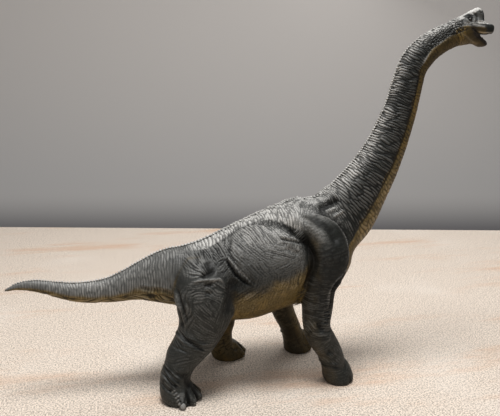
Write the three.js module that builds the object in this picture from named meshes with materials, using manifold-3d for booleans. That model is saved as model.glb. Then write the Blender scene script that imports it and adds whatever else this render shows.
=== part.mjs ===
// Toy dinosaur figure: a long-necked sauropod that walks with its mouth open.
// Ten moulded pieces plug into each other with keyed spigots and are glued.
// Millimetres, +X towards the head, +Y towards the animal's left, +Z up.

import * as THREE from "three";
import { mergeVertices } from "three/addons/utils/BufferGeometryUtils.js";
import Module from "manifold-3d";

const wasm = await Module();
wasm.setup();

// Body
const torsoLength = 150; // tail root to the front of the chest
const shoulderHeight = 150; // ground to the back above the shoulders
const chestWidth = 80;
const tailLength = 136.5;
const neckReach = 100; // neck root to head base, level
const neckRise = 160; // neck root to head base, upright
const neckWidth = 44; // at its root
const headLength = 40; // head base to the tip of the snout
const headHeight = 33;
const headWidth = 19;

// Legs
const hindLegDepth = 48; // front to back, at the thigh
const hindLegWidth = 35;
const foreLegDepth = 40; // front to back, at the shoulder
const foreLegWidth = 30;
const hindToeLength = 13;
const hindToeWidth = 9;
const hindToeHeight = 9.5;
const hindToeReach = 10; // middle of the foot to the middle of a toe
const foreToeLength = 9;
const foreToeWidth = 7.5;
const foreToeHeight = 6.5;
const foreToeReach = 8.2;

// Shells and joints
const wall = 3; // of the hollow torso
const seamGap = 0.3; // between two pieces
const fitClearance = 0.3; // round a spigot or a pin
const overrun = 5; // by which a cutter passes the surface that it cuts
const tailSpigotRadius = 11;
const tailSpigotLength = 10;
const neckSpigotRadius = 13;
const neckSpigotLength = 9;
const headSpigotRadius = 5;
const headSpigotLength = 8;
const jawPegRadius = 2.4;
const jawPegLength = 5;
const legSpigotRadius = 9;
const legSpigotStart = 12; // middle plane to the spigot's inner end
const pinRadius = 2;
const pinLength = 4;

// Face
const eyeRadius = 2.2;
const eyeSocketRadius = 3.2;
const nostrilRadius = 1.2;
const mouthWall = 1.9; // flesh beside the hollow of the mouth
const palateDepth = 2.6;
const tongueDepth = 2.4;

// How finely the surfaces are faceted
const spineSides = 22;
const legSides = 16;
const stepsPerStation = 2;
const spigotSegments = 14;
const toeSegments = 8;

// Torso stations from the tail root to the neck root: dorsal place and height, ventral place
// and height, half width. Shares of torso length, shoulder height and half the chest's width.
const torsoShares = [
  [0, 0.763, 0, 0.433, 0.65],
  [0.093, 0.787, 0.107, 0.373, 0.775],
  [0.227, 0.842, 0.24, 0.343, 0.9],
  [0.36, 0.9, 0.373, 0.343, 0.975],
  [0.48, 0.955, 0.52, 0.38, 0.988],
  [0.587, 1, 0.667, 0.413, 0.925],
  [0.68, 1.016, 0.827, 0.44, 0.825],
  [0.753, 1.023, 0.947, 0.587, 0.675],
  [0.78, 1.035, 0.987, 0.66, 0.612],
];

// Tail stations from the tip to the root: distance behind the root, lift above it, half height
// and half width. Shares of tail length (twice) and of the root's half height and half width.
const tailShares = [
  [1, -0.013, 0.048, 0.046],
  [0.923, 0.005, 0.121, 0.1],
  [0.835, 0, 0.186, 0.154],
  [0.733, -0.027, 0.246, 0.2],
  [0.637, -0.051, 0.295, 0.238],
  [0.542, -0.059, 0.339, 0.277],
  [0.447, -0.055, 0.388, 0.319],
  [0.359, -0.037, 0.481, 0.385],
  [0.275, -0.014, 0.594, 0.469],
  [0.183, 0, 0.764, 0.596],
  [0.095, 0.005, 0.905, 0.76],
];

// Neck stations from the root to the head: dorsal and ventral points from the neck root, half
// width. Shares of neck reach, neck rise and half the neck's width.
const neckShares = [
  [-0.115, 0.19, 0.215, -0.107, 1],
  [-0.045, 0.215, 0.323, -0.015, 0.886],
  [0.085, 0.293, 0.425, 0.121, 0.786],
  [0.195, 0.374, 0.515, 0.243, 0.709],
  [0.285, 0.458, 0.585, 0.362, 0.645],
  [0.355, 0.543, 0.635, 0.465, 0.595],
  [0.41, 0.618, 0.675, 0.558, 0.555],
  [0.45, 0.699, 0.705, 0.646, 0.527],
  [0.485, 0.774, 0.73, 0.724, 0.505],
  [0.53, 0.849, 0.75, 0.777, 0.486],
  [0.595, 0.908, 0.79, 0.815, 0.468],
  [0.695, 0.963, 0.855, 0.858, 0.45],
  [0.815, 1.005, 0.945, 0.896, 0.427],
  [0.935, 1.04, 1.045, 0.924, 0.418],
];

// Skull stations in front of the head base, crest stations on top of it and jaw stations below
// it, written alike. Shares of head length, head height and half the head's width.
const skullShares = [
  [0.063, 0.405, 0.263, -0.253, 0.99],
  [0.225, 0.489, 0.388, -0.214, 1],
  [0.388, 0.532, 0.513, -0.135, 0.95],
  [0.538, 0.502, 0.625, -0.05, 0.83],
  [0.675, 0.417, 0.725, 0.005, 0.75],
  [0.788, 0.344, 0.825, 0.026, 0.715],
  [0.9, 0.317, 0.913, 0.029, 0.68],
  [0.978, 0.277, 0.98, 0.05, 0.55],
  [1.008, 0.205, 1.008, 0.114, 0.32],
];
const crestShares = [
  [0.288, 0.508, 0.288, 0.356, 0.21],
  [0.403, 0.635, 0.413, 0.326, 0.38],
  [0.513, 0.702, 0.525, 0.295, 0.463],
  [0.63, 0.723, 0.625, 0.265, 0.484],
  [0.718, 0.617, 0.688, 0.25, 0.463],
  [0.758, 0.447, 0.743, 0.235, 0.38],
  [0.765, 0.368, 0.763, 0.25, 0.253],
];
const jawShares = [
  [0.313, 0.129, 0.363, -0.214, 0.726],
  [0.45, 0.123, 0.495, -0.21, 0.716],
  [0.57, 0.071, 0.595, -0.238, 0.684],
  [0.688, -0.002, 0.688, -0.28, 0.632],
  [0.788, -0.092, 0.778, -0.283, 0.526],
  [0.838, -0.15, 0.825, -0.241, 0.316],
];

// The upper lip from the corner of the mouth to the snout, and where the jaw's seam leaves the
// throat, from the head base. Shares of head length and head height.
const lipShares = [
  [0.4, 0.138],
  [0.463, 0.153],
  [0.675, 0.056],
  [0.86, 0.032],
  [0.97, 0.047],
];
const throatShares = [0.485, -0.2];
const eyeShares = [0.44, 0.435, 0.49];
const eyeSocketSideShare = 0.8;
const nostrilShares = [0.665, 0.589, 0.36];
const palateShares = [0.68, 0.04, 0.25];
const tongueShares = [0.62, 0.01, 0.2];

// Leg stations from the top down. Heights are shares of shoulder height, sides of half the
// chest's width, places of torso length, widths and depths of the leg's own.
const hindLegHeightShares = [0.72, 0.653, 0.567, 0.48, 0.4, 0.333, 0.267, 0.207, 0.147, 0.087, 0.04, 0];
const hindLegSideShares = [0.5, 0.6, 0.65, 0.7, 0.725, 0.75, 0.775, 0.8, 0.825, 0.85, 0.875, 0.875];
const hindLegWidthShares = [0.457, 0.8, 0.971, 1, 0.943, 0.857, 0.8, 0.743, 0.686, 0.714, 0.829, 0.829];
const hindLegPlaceShares = {
  right: [0.073, 0.08, 0.083, 0.09, 0.085, 0.053, 0.01, -0.032, -0.073, -0.077, -0.06, -0.053],
  left: [0.087, 0.093, 0.107, 0.137, 0.167, 0.19, 0.205, 0.217, 0.227, 0.25, 0.283, 0.293],
};
const hindLegDepthShares = {
  right: [0.375, 0.75, 0.938, 0.938, 0.844, 0.792, 0.771, 0.615, 0.5, 0.521, 0.625, 0.583],
  left: [0.375, 0.75, 0.958, 1, 1, 0.938, 0.823, 0.688, 0.542, 0.479, 0.604, 0.583],
};
const foreLegHeightShares = [
  0.933, 0.867, 0.787, 0.7, 0.613, 0.52, 0.427, 0.333, 0.273, 0.213, 0.147, 0.087, 0.033, 0,
];
const foreLegSideShares = [
  0.4, 0.525, 0.625, 0.7, 0.725, 0.75, 0.775, 0.788, 0.8, 0.8, 0.813, 0.825, 0.825, 0.825,
];
const foreLegWidthShares = [
  0.533, 0.8, 0.933, 1, 1, 0.9, 0.833, 0.8, 0.8, 0.767, 0.733, 0.733, 0.833, 0.833,
];
const foreLegPlaceShares = {
  right: [0.687, 0.713, 0.733, 0.74, 0.733, 0.7, 0.69, 0.688, 0.71, 0.743, 0.78, 0.798, 0.813, 0.823],
  left: [0.66, 0.687, 0.693, 0.68, 0.653, 0.623, 0.607, 0.615, 0.632, 0.657, 0.688, 0.71, 0.727, 0.733],
};
const foreLegDepthShares = {
  right: [0.55, 0.85, 1, 1, 0.9, 0.65, 0.625, 0.563, 0.625, 0.625, 0.55, 0.488, 0.55, 0.525],
  left: [0.55, 0.85, 1, 1, 0.9, 0.775, 0.65, 0.563, 0.538, 0.525, 0.488, 0.525, 0.6, 0.6],
};
const hipShare = 0.182; // of the way down a hind leg's stations, where its spigot is
const shoulderShare = 0.231; // the same on a fore leg

// Toes fan out from straight ahead towards the outer side, in degrees. The last hind one is big.
const hindToeAngles = { right: [-14, 18, 50, 80], left: [-36, 0, 40, 80] };
const foreToeAngles = { right: [-24, 8, 40, 74], left: [-30, 2, 34, 66] };
const bigToeShare = 1.15;

const crownShare = 0.15; // by which a section narrows towards the back
const keyAngle = THREE.MathUtils.degToRad(40); // half of a key's flat, seen from its axis
const pinPlaceShare = 0.72; // of the half height of the section that carries it

// Where the pieces part, counted in stations along the spine
const tailSeam = tailShares.length;
const neckSeam = tailSeam + torsoShares.length - 1;
const headSeam = neckSeam + neckShares.length;

// A section of the spine: its dorsal and ventral points on the middle plane and its half width.
function section(dorsalX, dorsalZ, ventralX, ventralZ, halfWidth) {
  const dorsal = new THREE.Vector3(dorsalX, 0, dorsalZ);
  const ventral = new THREE.Vector3(ventralX, 0, ventralZ);
  const middle = dorsal.clone().add(ventral).multiplyScalar(0.5);
  return { dorsal, ventral, middle, halfWidth };
}

// A section made from shares of three sizes, measured from an origin on the middle plane.
function sectionFrom(origin, shares, length, height, width) {
  const [dorsalX, dorsalZ, ventralX, ventralZ, halfWidth] = shares;
  return section(
    origin.x + dorsalX * length,
    origin.z + dorsalZ * height,
    origin.x + ventralX * length,
    origin.z + ventralZ * height,
    (halfWidth * width) / 2,
  );
}

// Smooth curves through the stations of a body, read at a place counted in stations.
function smooth(sections) {
  const curve = (points) => new THREE.CatmullRomCurve3(points, false, "catmullrom");
  const dorsal = curve(sections.map((one) => one.dorsal));
  const ventral = curve(sections.map((one) => one.ventral));
  const width = curve(sections.map((one) => new THREE.Vector3(one.halfWidth, 0, 0)));
  return (place) => {
    const share = place / (sections.length - 1);
    const back = dorsal.getPoint(share);
    const belly = ventral.getPoint(share);
    return section(back.x, back.z, belly.x, belly.z, width.getPoint(share).x);
  };
}

// Unit vectors of a section: from belly to back, and ahead along the body.
function axes(one) {
  const up = one.dorsal.clone().sub(one.ventral).normalize();
  const ahead = new THREE.Vector3(0, 1, 0).cross(up);
  return { up, ahead };
}

// The points round a section, grown by a margin and moved ahead.
function ring(one, sides, grow = 0, shift = 0) {
  const { up, ahead } = axes(one);
  const reach = one.dorsal.distanceTo(one.middle) + grow;
  const side = one.halfWidth + grow;
  return Array.from({ length: sides }, (_, index) => {
    const angle = (index / sides) * Math.PI * 2;
    const crown = 1 - crownShare * Math.cos(angle);
    const point = one.middle.clone().addScaledVector(ahead, shift);
    point.addScaledVector(up, reach * Math.cos(angle));
    point.y += side * Math.sin(angle) * crown;
    return point;
  });
}

// A closed skin through rings of as many points each, with a flat end on the first and last.
function loft(rings) {
  const sides = rings[0].length;
  const middleOf = (points) =>
    points.reduce((sum, point) => sum.add(point), new THREE.Vector3()).divideScalar(sides);
  const points = [...rings.flat(), middleOf(rings[0]), middleOf(rings.at(-1))];
  const startMiddle = rings.length * sides;
  const endMiddle = startMiddle + 1;
  const lastRing = (rings.length - 1) * sides;
  const faces = [];
  for (let corner = 0; corner < sides; corner += 1) {
    const next = (corner + 1) % sides;
    faces.push(startMiddle, corner, next);
    faces.push(endMiddle, lastRing + next, lastRing + corner);
    for (let row = 0; row < lastRing; row += sides) {
      const ahead = row + sides;
      faces.push(row + corner, ahead + corner, row + next);
      faces.push(row + next, ahead + corner, ahead + next);
    }
  }
  return new THREE.BufferGeometry().setFromPoints(points).setIndex(faces);
}

// A closed geometry as a solid that can be joined and cut.
function solid(geometry) {
  geometry.deleteAttribute("normal");
  geometry.deleteAttribute("uv");
  const merged = mergeVertices(geometry);
  const vertProperties = merged.getAttribute("position").array;
  const triVerts = new Uint32Array(merged.getIndex().array);
  return new wasm.Manifold(new wasm.Mesh({ numProp: 3, vertProperties, triVerts }));
}

// A box between two corners.
function block(low, high) {
  const size = high.clone().sub(low);
  const middle = low.clone().add(high).multiplyScalar(0.5);
  return solid(new THREE.BoxGeometry(...size).translate(...middle));
}

// A ball squeezed to three radii, turned and moved to its place.
function ball(radii, centre, turn = new THREE.Matrix4(), segments = toeSegments) {
  const geometry = new THREE.SphereGeometry(1, segments, segments - 3);
  geometry.scale(...radii).applyMatrix4(turn).translate(...centre);
  return solid(geometry);
}

// A round bar with one flat along it as a key, from a start point along an axis.
function keyedBar(radius, length, start, axis, flatSide) {
  const outline = new THREE.Shape();
  outline.absarc(0, 0, radius, keyAngle, Math.PI * 2 - keyAngle);
  outline.closePath();
  const bar = { depth: length, bevelEnabled: false, curveSegments: spigotSegments };
  const geometry = new THREE.ExtrudeGeometry(outline, bar);
  const across = axis.clone().cross(flatSide);
  geometry.applyMatrix4(new THREE.Matrix4().makeBasis(flatSide, across, axis));
  return solid(geometry.translate(...start));
}

// A plain round bar across the body between two sides.
function crossBar(radius, place, fromSide, toSide) {
  const length = Math.abs(toSide - fromSide);
  const geometry = new THREE.CylinderGeometry(radius, radius, length, spigotSegments);
  return solid(geometry.translate(place.x, (fromSide + toSide) / 2, place.z));
}

// The spine: tail, torso and neck as one run of sections, so that their skins meet.
const torsoSections = torsoShares.map((shares) =>
  sectionFrom(new THREE.Vector3(), shares, torsoLength, shoulderHeight, chestWidth),
);
const tailRoot = torsoSections[0];
const neckRoot = torsoSections.at(-1);
const tailSections = tailShares.map(([behind, lift, height, width]) => {
  const place = tailRoot.middle.x - behind * tailLength;
  const level = tailRoot.middle.z + lift * tailLength;
  const halfHeight = height * tailRoot.dorsal.distanceTo(tailRoot.middle);
  return section(place, level + halfHeight, place, level - halfHeight, width * tailRoot.halfWidth);
});
const neckSections = neckShares.map((shares) =>
  sectionFrom(neckRoot.middle, shares, neckReach, neckRise, neckWidth),
);
const headBase = neckSections.at(-1).middle;
const onHead = (shares) => sectionFrom(headBase, shares, headLength, headHeight, headWidth);
const skullSections = skullShares.map(onHead);
const spine = smooth([...tailSections, ...torsoSections, ...neckSections, ...skullSections]);
const spineEnd = headSeam + skullShares.length;

// Places from one to another, with steps on the same grid for every piece.
function places(from, to) {
  const between = [];
  for (let step = Math.floor(from * stepsPerStation) + 1; step < to * stepsPerStation; step += 1) {
    between.push(step / stepsPerStation);
  }
  return [from, ...between, to];
}

// A stretch of the spine as rings, with its two ends moved inwards by their gaps.
function stretch(from, to, grow = 0, startGap = 0, endGap = 0) {
  return places(from, to).map((place) => {
    const shift = (place === from ? startGap : 0) - (place === to ? endGap : 0);
    return ring(spine(place), spineSides, grow, shift);
  });
}

// The place whose whole section lies a depth behind or ahead of a seam's plane.
function setBack(seam, direction, depth) {
  const plane = spine(seam);
  const { ahead } = axes(plane);
  const clear = (point) => point.clone().sub(plane.middle).dot(ahead) * direction;
  const step = direction / (stepsPerStation * 10);
  let place = seam;
  while (Math.min(clear(spine(place).dorsal), clear(spine(place).ventral)) < depth) place += step;
  return place;
}

// Spigots of the tail, neck and head, and the sockets that take them.
function seamBar(seam, direction, radius, length, margin = 0) {
  const plane = spine(seam);
  const { up, ahead } = axes(plane);
  const axis = ahead.clone().multiplyScalar(direction);
  const start = plane.middle.clone().addScaledVector(axis, -overrun);
  return keyedBar(radius + margin, length + overrun + margin, start, axis, up);
}
const tailSpigot = (margin) => seamBar(tailSeam, 1, tailSpigotRadius, tailSpigotLength, margin);
const neckSpigot = (margin) => seamBar(neckSeam, -1, neckSpigotRadius, neckSpigotLength, margin);
const headSpigot = (margin) => seamBar(headSeam, -1, headSpigotRadius, headSpigotLength, margin);

// The space on one side of the middle plane, half a seam's gap away from it.
const spaceReach = torsoLength + neckReach + neckRise;
function sideSpace(side) {
  const far = new THREE.Vector3(spaceReach, side * spaceReach, spaceReach);
  const near = new THREE.Vector3(-spaceReach, (side * seamGap) / 2, -spaceReach);
  return block(near.clone().min(far), near.clone().max(far));
}

// A leg: its stations, the place of its spigot and the toes of its foot.
function makeLeg(isHind, name) {
  const side = name === "left" ? 1 : -1;
  const heights = isHind ? hindLegHeightShares : foreLegHeightShares;
  const sides = isHind ? hindLegSideShares : foreLegSideShares;
  const widths = isHind ? hindLegWidthShares : foreLegWidthShares;
  const legPlaces = (isHind ? hindLegPlaceShares : foreLegPlaceShares)[name];
  const depths = (isHind ? hindLegDepthShares : foreLegDepthShares)[name];
  const legDepth = isHind ? hindLegDepth : foreLegDepth;
  const legWidth = isHind ? hindLegWidth : foreLegWidth;
  const middles = heights.map((height, index) => {
    const across = (side * sides[index] * chestWidth) / 2;
    return new THREE.Vector3(legPlaces[index] * torsoLength, across, height * shoulderHeight);
  });
  const halves = heights.map(
    (_, index) => new THREE.Vector3((depths[index] * legDepth) / 2, (widths[index] * legWidth) / 2, 0),
  );
  const middle = new THREE.CatmullRomCurve3(middles, false, "catmullrom");
  const half = new THREE.CatmullRomCurve3(halves, false, "catmullrom");
  const rootShare = isHind ? hipShare : shoulderShare;
  const steps = (heights.length - 1) * stepsPerStation;
  return {
    isHind,
    name,
    side,
    middle,
    half,
    steps,
    foot: middles.at(-1),
    rootMiddle: middle.getPoint(rootShare),
    rootHalf: half.getPoint(rootShare),
  };
}

// The rings of a leg, level, from the top of its muscle down to the sole.
function legRings(leg) {
  return Array.from({ length: leg.steps + 1 }, (_, step) => {
    const centre = leg.middle.getPoint(step / leg.steps);
    const size = leg.half.getPoint(step / leg.steps);
    return Array.from({ length: legSides }, (_unused, index) => {
      const angle = (index / legSides) * Math.PI * 2;
      const point = new THREE.Vector3(size.x * Math.cos(angle), size.y * Math.sin(angle), 0);
      return point.add(centre);
    });
  });
}

// The spigot that plugs a leg into the torso, or the socket for it.
function legSpigot(leg, margin = 0) {
  const inner = legSpigotStart - margin;
  const outer = Math.abs(leg.rootMiddle.y) + leg.rootHalf.y / 2;
  const start = new THREE.Vector3(leg.rootMiddle.x, leg.side * outer, leg.rootMiddle.z);
  const axis = new THREE.Vector3(0, -leg.side, 0);
  return keyedBar(legSpigotRadius + margin, outer - inner, start, axis, new THREE.Vector3(0, 0, 1));
}

// Toes round the front of a foot, as domes that the ground cuts flat.
function toes(leg) {
  const angles = (leg.isHind ? hindToeAngles : foreToeAngles)[leg.name];
  const reach = leg.isHind ? hindToeReach : foreToeReach;
  const size = leg.isHind
    ? [hindToeLength / 2, hindToeWidth / 2, hindToeHeight]
    : [foreToeLength / 2, foreToeWidth / 2, foreToeHeight];
  return angles.map((degrees, index) => {
    const big = leg.isHind && index === angles.length - 1;
    const scale = big ? bigToeShare : 1;
    const angle = THREE.MathUtils.degToRad(degrees) * leg.side;
    const direction = new THREE.Vector3(Math.cos(angle), Math.sin(angle), 0);
    const centre = leg.foot.clone().addScaledVector(direction, reach * scale);
    const radii = size.map((radius) => radius * scale);
    return ball(radii, centre, new THREE.Matrix4().makeRotationZ(angle));
  });
}

// The skin of the whole spine, grown by the seam's gap, which a leg is cut to.
const bodyEnvelope = solid(loft(stretch(0, headSeam, seamGap)));

// A leg's flesh outside the body, its foot flat on the ground, and its spigot.
function legSolid(leg) {
  let flesh = solid(loft(legRings(leg)));
  for (const toe of toes(leg)) flesh = flesh.add(toe);
  const low = new THREE.Vector3(-spaceReach, -spaceReach, -spaceReach);
  const high = new THREE.Vector3(spaceReach, spaceReach, 0);
  flesh = flesh.subtract(block(low, high)).subtract(bodyEnvelope);
  return flesh.add(legSpigot(leg));
}

const legs = {
  hind_leg_left: makeLeg(true, "left"),
  hind_leg_right: makeLeg(true, "right"),
  fore_leg_left: makeLeg(false, "left"),
  fore_leg_right: makeLeg(false, "right"),
};

// The torso is two hollow shells that meet on the middle plane. Their solid ends carry the tail
// and the neck, and bosses inside carry the legs.
const cavityStart = setBack(tailSeam, 1, tailSpigotLength + wall);
const cavityEnd = setBack(neckSeam, -1, neckSpigotLength + wall);
const torsoSkin = solid(loft(stretch(tailSeam, neckSeam)));
const torsoCavity = solid(loft(stretch(cavityStart, cavityEnd, -wall)));

// Two pins stand in each solid end, above and below the spigot.
const pinPlaces = [(tailSeam + cavityStart) / 2, (neckSeam + cavityEnd) / 2].flatMap((place) => {
  const { dorsal, ventral, middle } = spine(place);
  return [dorsal, ventral].map((edge) => middle.clone().lerp(edge, pinPlaceShare));
});

function torsoHalf(side) {
  let half = torsoSkin.subtract(torsoCavity);
  for (const leg of Object.values(legs).filter((one) => one.side === side)) {
    const radius = legSpigotRadius + fitClearance + wall;
    const inner = legSpigotStart - fitClearance - wall;
    const boss = crossBar(radius, leg.rootMiddle, side * inner, (side * chestWidth) / 2);
    half = half.add(boss.intersect(torsoSkin)).subtract(legSpigot(leg, fitClearance));
  }
  half = half.intersect(sideSpace(side));
  for (const place of pinPlaces) {
    half =
      side > 0
        ? half.add(crossBar(pinRadius, place, pinLength, -pinLength))
        : half.subtract(crossBar(pinRadius + fitClearance, place, seamGap, -pinLength - fitClearance));
  }
  return half.subtract(tailSpigot(fitClearance)).subtract(neckSpigot(fitClearance));
}

// The tail and the neck are solid, each with its spigot. A spigot's root stays in its piece.
function tailSolid() {
  return solid(loft(stretch(0, tailSeam, 0, 0, seamGap))).add(tailSpigot());
}

function neckSolid() {
  const flesh = solid(loft(stretch(neckSeam, headSeam, 0, seamGap, 0)));
  return flesh.add(neckSpigot()).subtract(headSpigot(fitClearance));
}

// A point of the head, in the frame that its tables use.
function headPoint([along, up, side = 0]) {
  const offset = new THREE.Vector3(along * headLength, (side * headWidth) / 2, up * headHeight);
  return headBase.clone().add(offset);
}

// An outline on the middle plane, extruded right across the head.
function acrossHead(points) {
  const outline = new THREE.Shape(points.map((point) => new THREE.Vector2(point.x, point.z)));
  const depth = headWidth + overrun * 2;
  const geometry = new THREE.ExtrudeGeometry(outline, { depth, bevelEnabled: false });
  return solid(geometry.rotateX(Math.PI / 2).translate(0, depth / 2, 0));
}

// The jaw's seam runs from the corner of the mouth through the throat.
const mouthCorner = headPoint(lipShares[0]);
const throat = headPoint(throatShares);
const seamDown = throat.clone().sub(mouthCorner).normalize();
const seamAhead = seamDown.clone().cross(new THREE.Vector3(0, 1, 0));
const seamFoot = mouthCorner.clone().addScaledVector(seamDown, headHeight);
const noseReach = headBase.x + headLength + overrun;

// Everything in front of the seam and below the upper lip is open.
function mouthOpening() {
  const lip = lipShares.map(headPoint);
  const outer = new THREE.Vector3(noseReach, 0, lip.at(-1).z);
  return acrossHead([...lip, outer, new THREE.Vector3(noseReach, 0, seamFoot.z), seamFoot]);
}

// Everything behind the seam and its gap belongs to the head.
function behindSeam() {
  const shifted = (point) => point.clone().addScaledVector(seamAhead, seamGap);
  const above = mouthCorner.clone().addScaledVector(seamDown, -headHeight);
  const back = new THREE.Vector3(-headLength, 0, 0);
  const corners = [shifted(above), shifted(above).add(back), shifted(seamFoot).add(back), shifted(seamFoot)];
  return acrossHead(corners);
}

function jawPeg(margin = 0) {
  const start = mouthCorner.clone().lerp(throat, 0.5).addScaledVector(seamAhead, jawPegRadius);
  const axis = seamAhead.clone().negate();
  const length = jawPegLength + jawPegRadius + margin;
  return keyedBar(jawPegRadius + margin, length, start, axis, seamDown);
}

// The roof of the mouth and the trough of the jaw, hollowed to a wall beside them.
function mouthHollow([along, up, reach], depth, tilt) {
  const radii = [reach * headLength, (headWidth * jawShares[0][4]) / 2 - mouthWall, depth];
  return ball(radii, headPoint([along, up]), new THREE.Matrix4().makeRotationY(tilt), toeSegments + 4);
}

function jawTilt() {
  const back = headPoint(jawShares[1]);
  const front = headPoint(jawShares[4]);
  return Math.atan2(back.z - front.z, front.x - back.x);
}

function headSolid() {
  const skull = solid(loft(stretch(headSeam, spineEnd, 0, seamGap, 0)));
  const crestSpine = smooth(crestShares.map(onHead));
  const crestRings = places(0, crestShares.length - 1).map((place) => ring(crestSpine(place), legSides));
  let head = skull.add(solid(loft(crestRings)));
  head = head.subtract(mouthOpening());
  head = head.subtract(mouthHollow(palateShares, palateDepth, 0));
  for (const side of [-1, 1]) {
    const [eyeAlong, eyeUp, eyeSide] = eyeShares;
    const eye = headPoint([eyeAlong, eyeUp, eyeSide * side]);
    const socket = headPoint([eyeAlong, eyeUp, eyeSocketSideShare * side]);
    const [nostrilAlong, nostrilUp, nostrilSide] = nostrilShares;
    const nostril = headPoint([nostrilAlong, nostrilUp, nostrilSide * side]);
    head = head.subtract(ball(Array(3).fill(eyeSocketRadius), socket));
    head = head.add(ball(Array(3).fill(eyeRadius), eye));
    head = head.subtract(ball(Array(3).fill(nostrilRadius), nostril));
  }
  return head.subtract(jawPeg(fitClearance)).add(headSpigot());
}

function jawSolid() {
  const jawSpine = smooth(jawShares.map(onHead));
  const jawRings = places(0, jawShares.length - 1).map((place) => ring(jawSpine(place), legSides));
  const jaw = solid(loft(jawRings)).subtract(behindSeam());
  return jaw.subtract(mouthHollow(tongueShares, tongueDepth, jawTilt())).add(jawPeg());
}

// One moulded plastic, painted darker on the back than under the belly.
const hide = { color: 0x3d423d, roughness: 0.55, metalness: 0 };
const bellyHide = { color: 0x4a4a3c, roughness: 0.6, metalness: 0 };

function piece(name, made, finish) {
  const { vertProperties, triVerts } = made.getMesh();
  const geometry = new THREE.BufferGeometry();
  geometry.setAttribute("position", new THREE.BufferAttribute(vertProperties, 3));
  geometry.setIndex(new THREE.BufferAttribute(triVerts, 1));
  geometry.computeVertexNormals();
  const mesh = new THREE.Mesh(geometry, new THREE.MeshStandardMaterial(finish));
  mesh.name = name;
  return mesh;
}

// The figure stands on the ground with its origin under the middle of its own box.
const figure = new THREE.Group();
figure.add(piece("torso_left", torsoHalf(1), hide));
figure.add(piece("torso_right", torsoHalf(-1), hide));
figure.add(piece("neck", neckSolid(), hide));
figure.add(piece("head", headSolid(), hide));
figure.add(piece("lower_jaw", jawSolid(), bellyHide));
figure.add(piece("tail", tailSolid(), hide));
for (const [name, leg] of Object.entries(legs)) figure.add(piece(name, legSolid(leg), bellyHide));

const extent = new THREE.Box3().setFromObject(figure);
const centre = extent.getCenter(new THREE.Vector3());
figure.position.set(-centre.x, -centre.y, -extent.min.z);

const part = new THREE.Group();
part.add(figure);

export default part;
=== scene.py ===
"""Sculpts and paints a walking toy dinosaur over its moulded pieces, and sets it on a pale stage."""

import math
from functools import lru_cache, reduce

import bmesh
import bpy
import numpy as np
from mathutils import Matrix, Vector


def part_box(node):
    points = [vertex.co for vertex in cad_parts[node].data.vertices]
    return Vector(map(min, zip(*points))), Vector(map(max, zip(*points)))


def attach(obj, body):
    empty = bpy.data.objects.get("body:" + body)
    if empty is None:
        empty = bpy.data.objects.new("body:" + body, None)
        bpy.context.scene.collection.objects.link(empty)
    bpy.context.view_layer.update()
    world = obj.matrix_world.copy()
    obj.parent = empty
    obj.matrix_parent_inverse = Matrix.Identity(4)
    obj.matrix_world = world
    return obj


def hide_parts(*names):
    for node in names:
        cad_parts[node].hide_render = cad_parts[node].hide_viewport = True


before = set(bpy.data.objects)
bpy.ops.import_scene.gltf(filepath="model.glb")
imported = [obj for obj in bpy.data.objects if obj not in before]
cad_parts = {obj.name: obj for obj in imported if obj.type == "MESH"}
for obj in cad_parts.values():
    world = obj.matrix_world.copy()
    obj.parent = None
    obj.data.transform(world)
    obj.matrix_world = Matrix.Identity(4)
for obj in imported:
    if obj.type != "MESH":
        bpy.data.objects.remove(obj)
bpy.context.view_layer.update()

import openvdb
from mathutils import Matrix, Vector
from mathutils.kdtree import KDTree

bl_info = {
    "name": "Toy dinosaur figure",
    "version": (1, 0, 0),
    "blender": (4, 5, 0),
    "location": "View3D > Sidebar > Figure",
    "description": "Sculpts and paints a toy dinosaur over its moulded pieces",
    "category": "Add Mesh",
}

MM = 0.001

# Sizes of the body in millimetres, as the moulded pieces have them
TAIL_ROOT_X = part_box("torso_left")[0][0] / MM
TORSO_LENGTH = 150.0
SHOULDER_HEIGHT = 150.0
CHEST_WIDTH = 80.0
TAIL_LENGTH = 136.5
NECK_REACH = 100.0
NECK_RISE = 160.0
NECK_WIDTH = 44.0
HEAD_LENGTH = 40.0
HEAD_HEIGHT = 33.0
HEAD_WIDTH = 19.0
HIND_LEG_SIZE = (48.0, 35.0)
FORE_LEG_SIZE = (40.0, 30.0)
CROWN_SHARE = 0.15
SIGNS = {"left": 1, "right": -1}

# Torso stations: dorsal place and height, ventral place and height, half width
TORSO_SHARES = [
    (0, 0.763, 0, 0.433, 0.65),
    (0.093, 0.787, 0.107, 0.373, 0.775),
    (0.227, 0.842, 0.24, 0.343, 0.9),
    (0.36, 0.9, 0.373, 0.343, 0.975),
    (0.48, 0.955, 0.52, 0.38, 0.988),
    (0.587, 1, 0.667, 0.413, 0.925),
    (0.68, 1.016, 0.827, 0.44, 0.825),
    (0.753, 1.023, 0.947, 0.587, 0.675),
    (0.78, 1.035, 0.987, 0.66, 0.612),
]
# Tail stations from the tip: distance behind the root, lift, half height, half width
TAIL_SHARES = [
    (1, -0.013, 0.048, 0.046),
    (0.923, 0.005, 0.121, 0.1),
    (0.835, 0, 0.186, 0.154),
    (0.733, -0.027, 0.246, 0.2),
    (0.637, -0.051, 0.295, 0.238),
    (0.542, -0.059, 0.339, 0.277),
    (0.447, -0.055, 0.388, 0.319),
    (0.359, -0.037, 0.481, 0.385),
    (0.275, -0.014, 0.594, 0.469),
    (0.183, 0, 0.764, 0.596),
    (0.095, 0.005, 0.905, 0.76),
]
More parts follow.
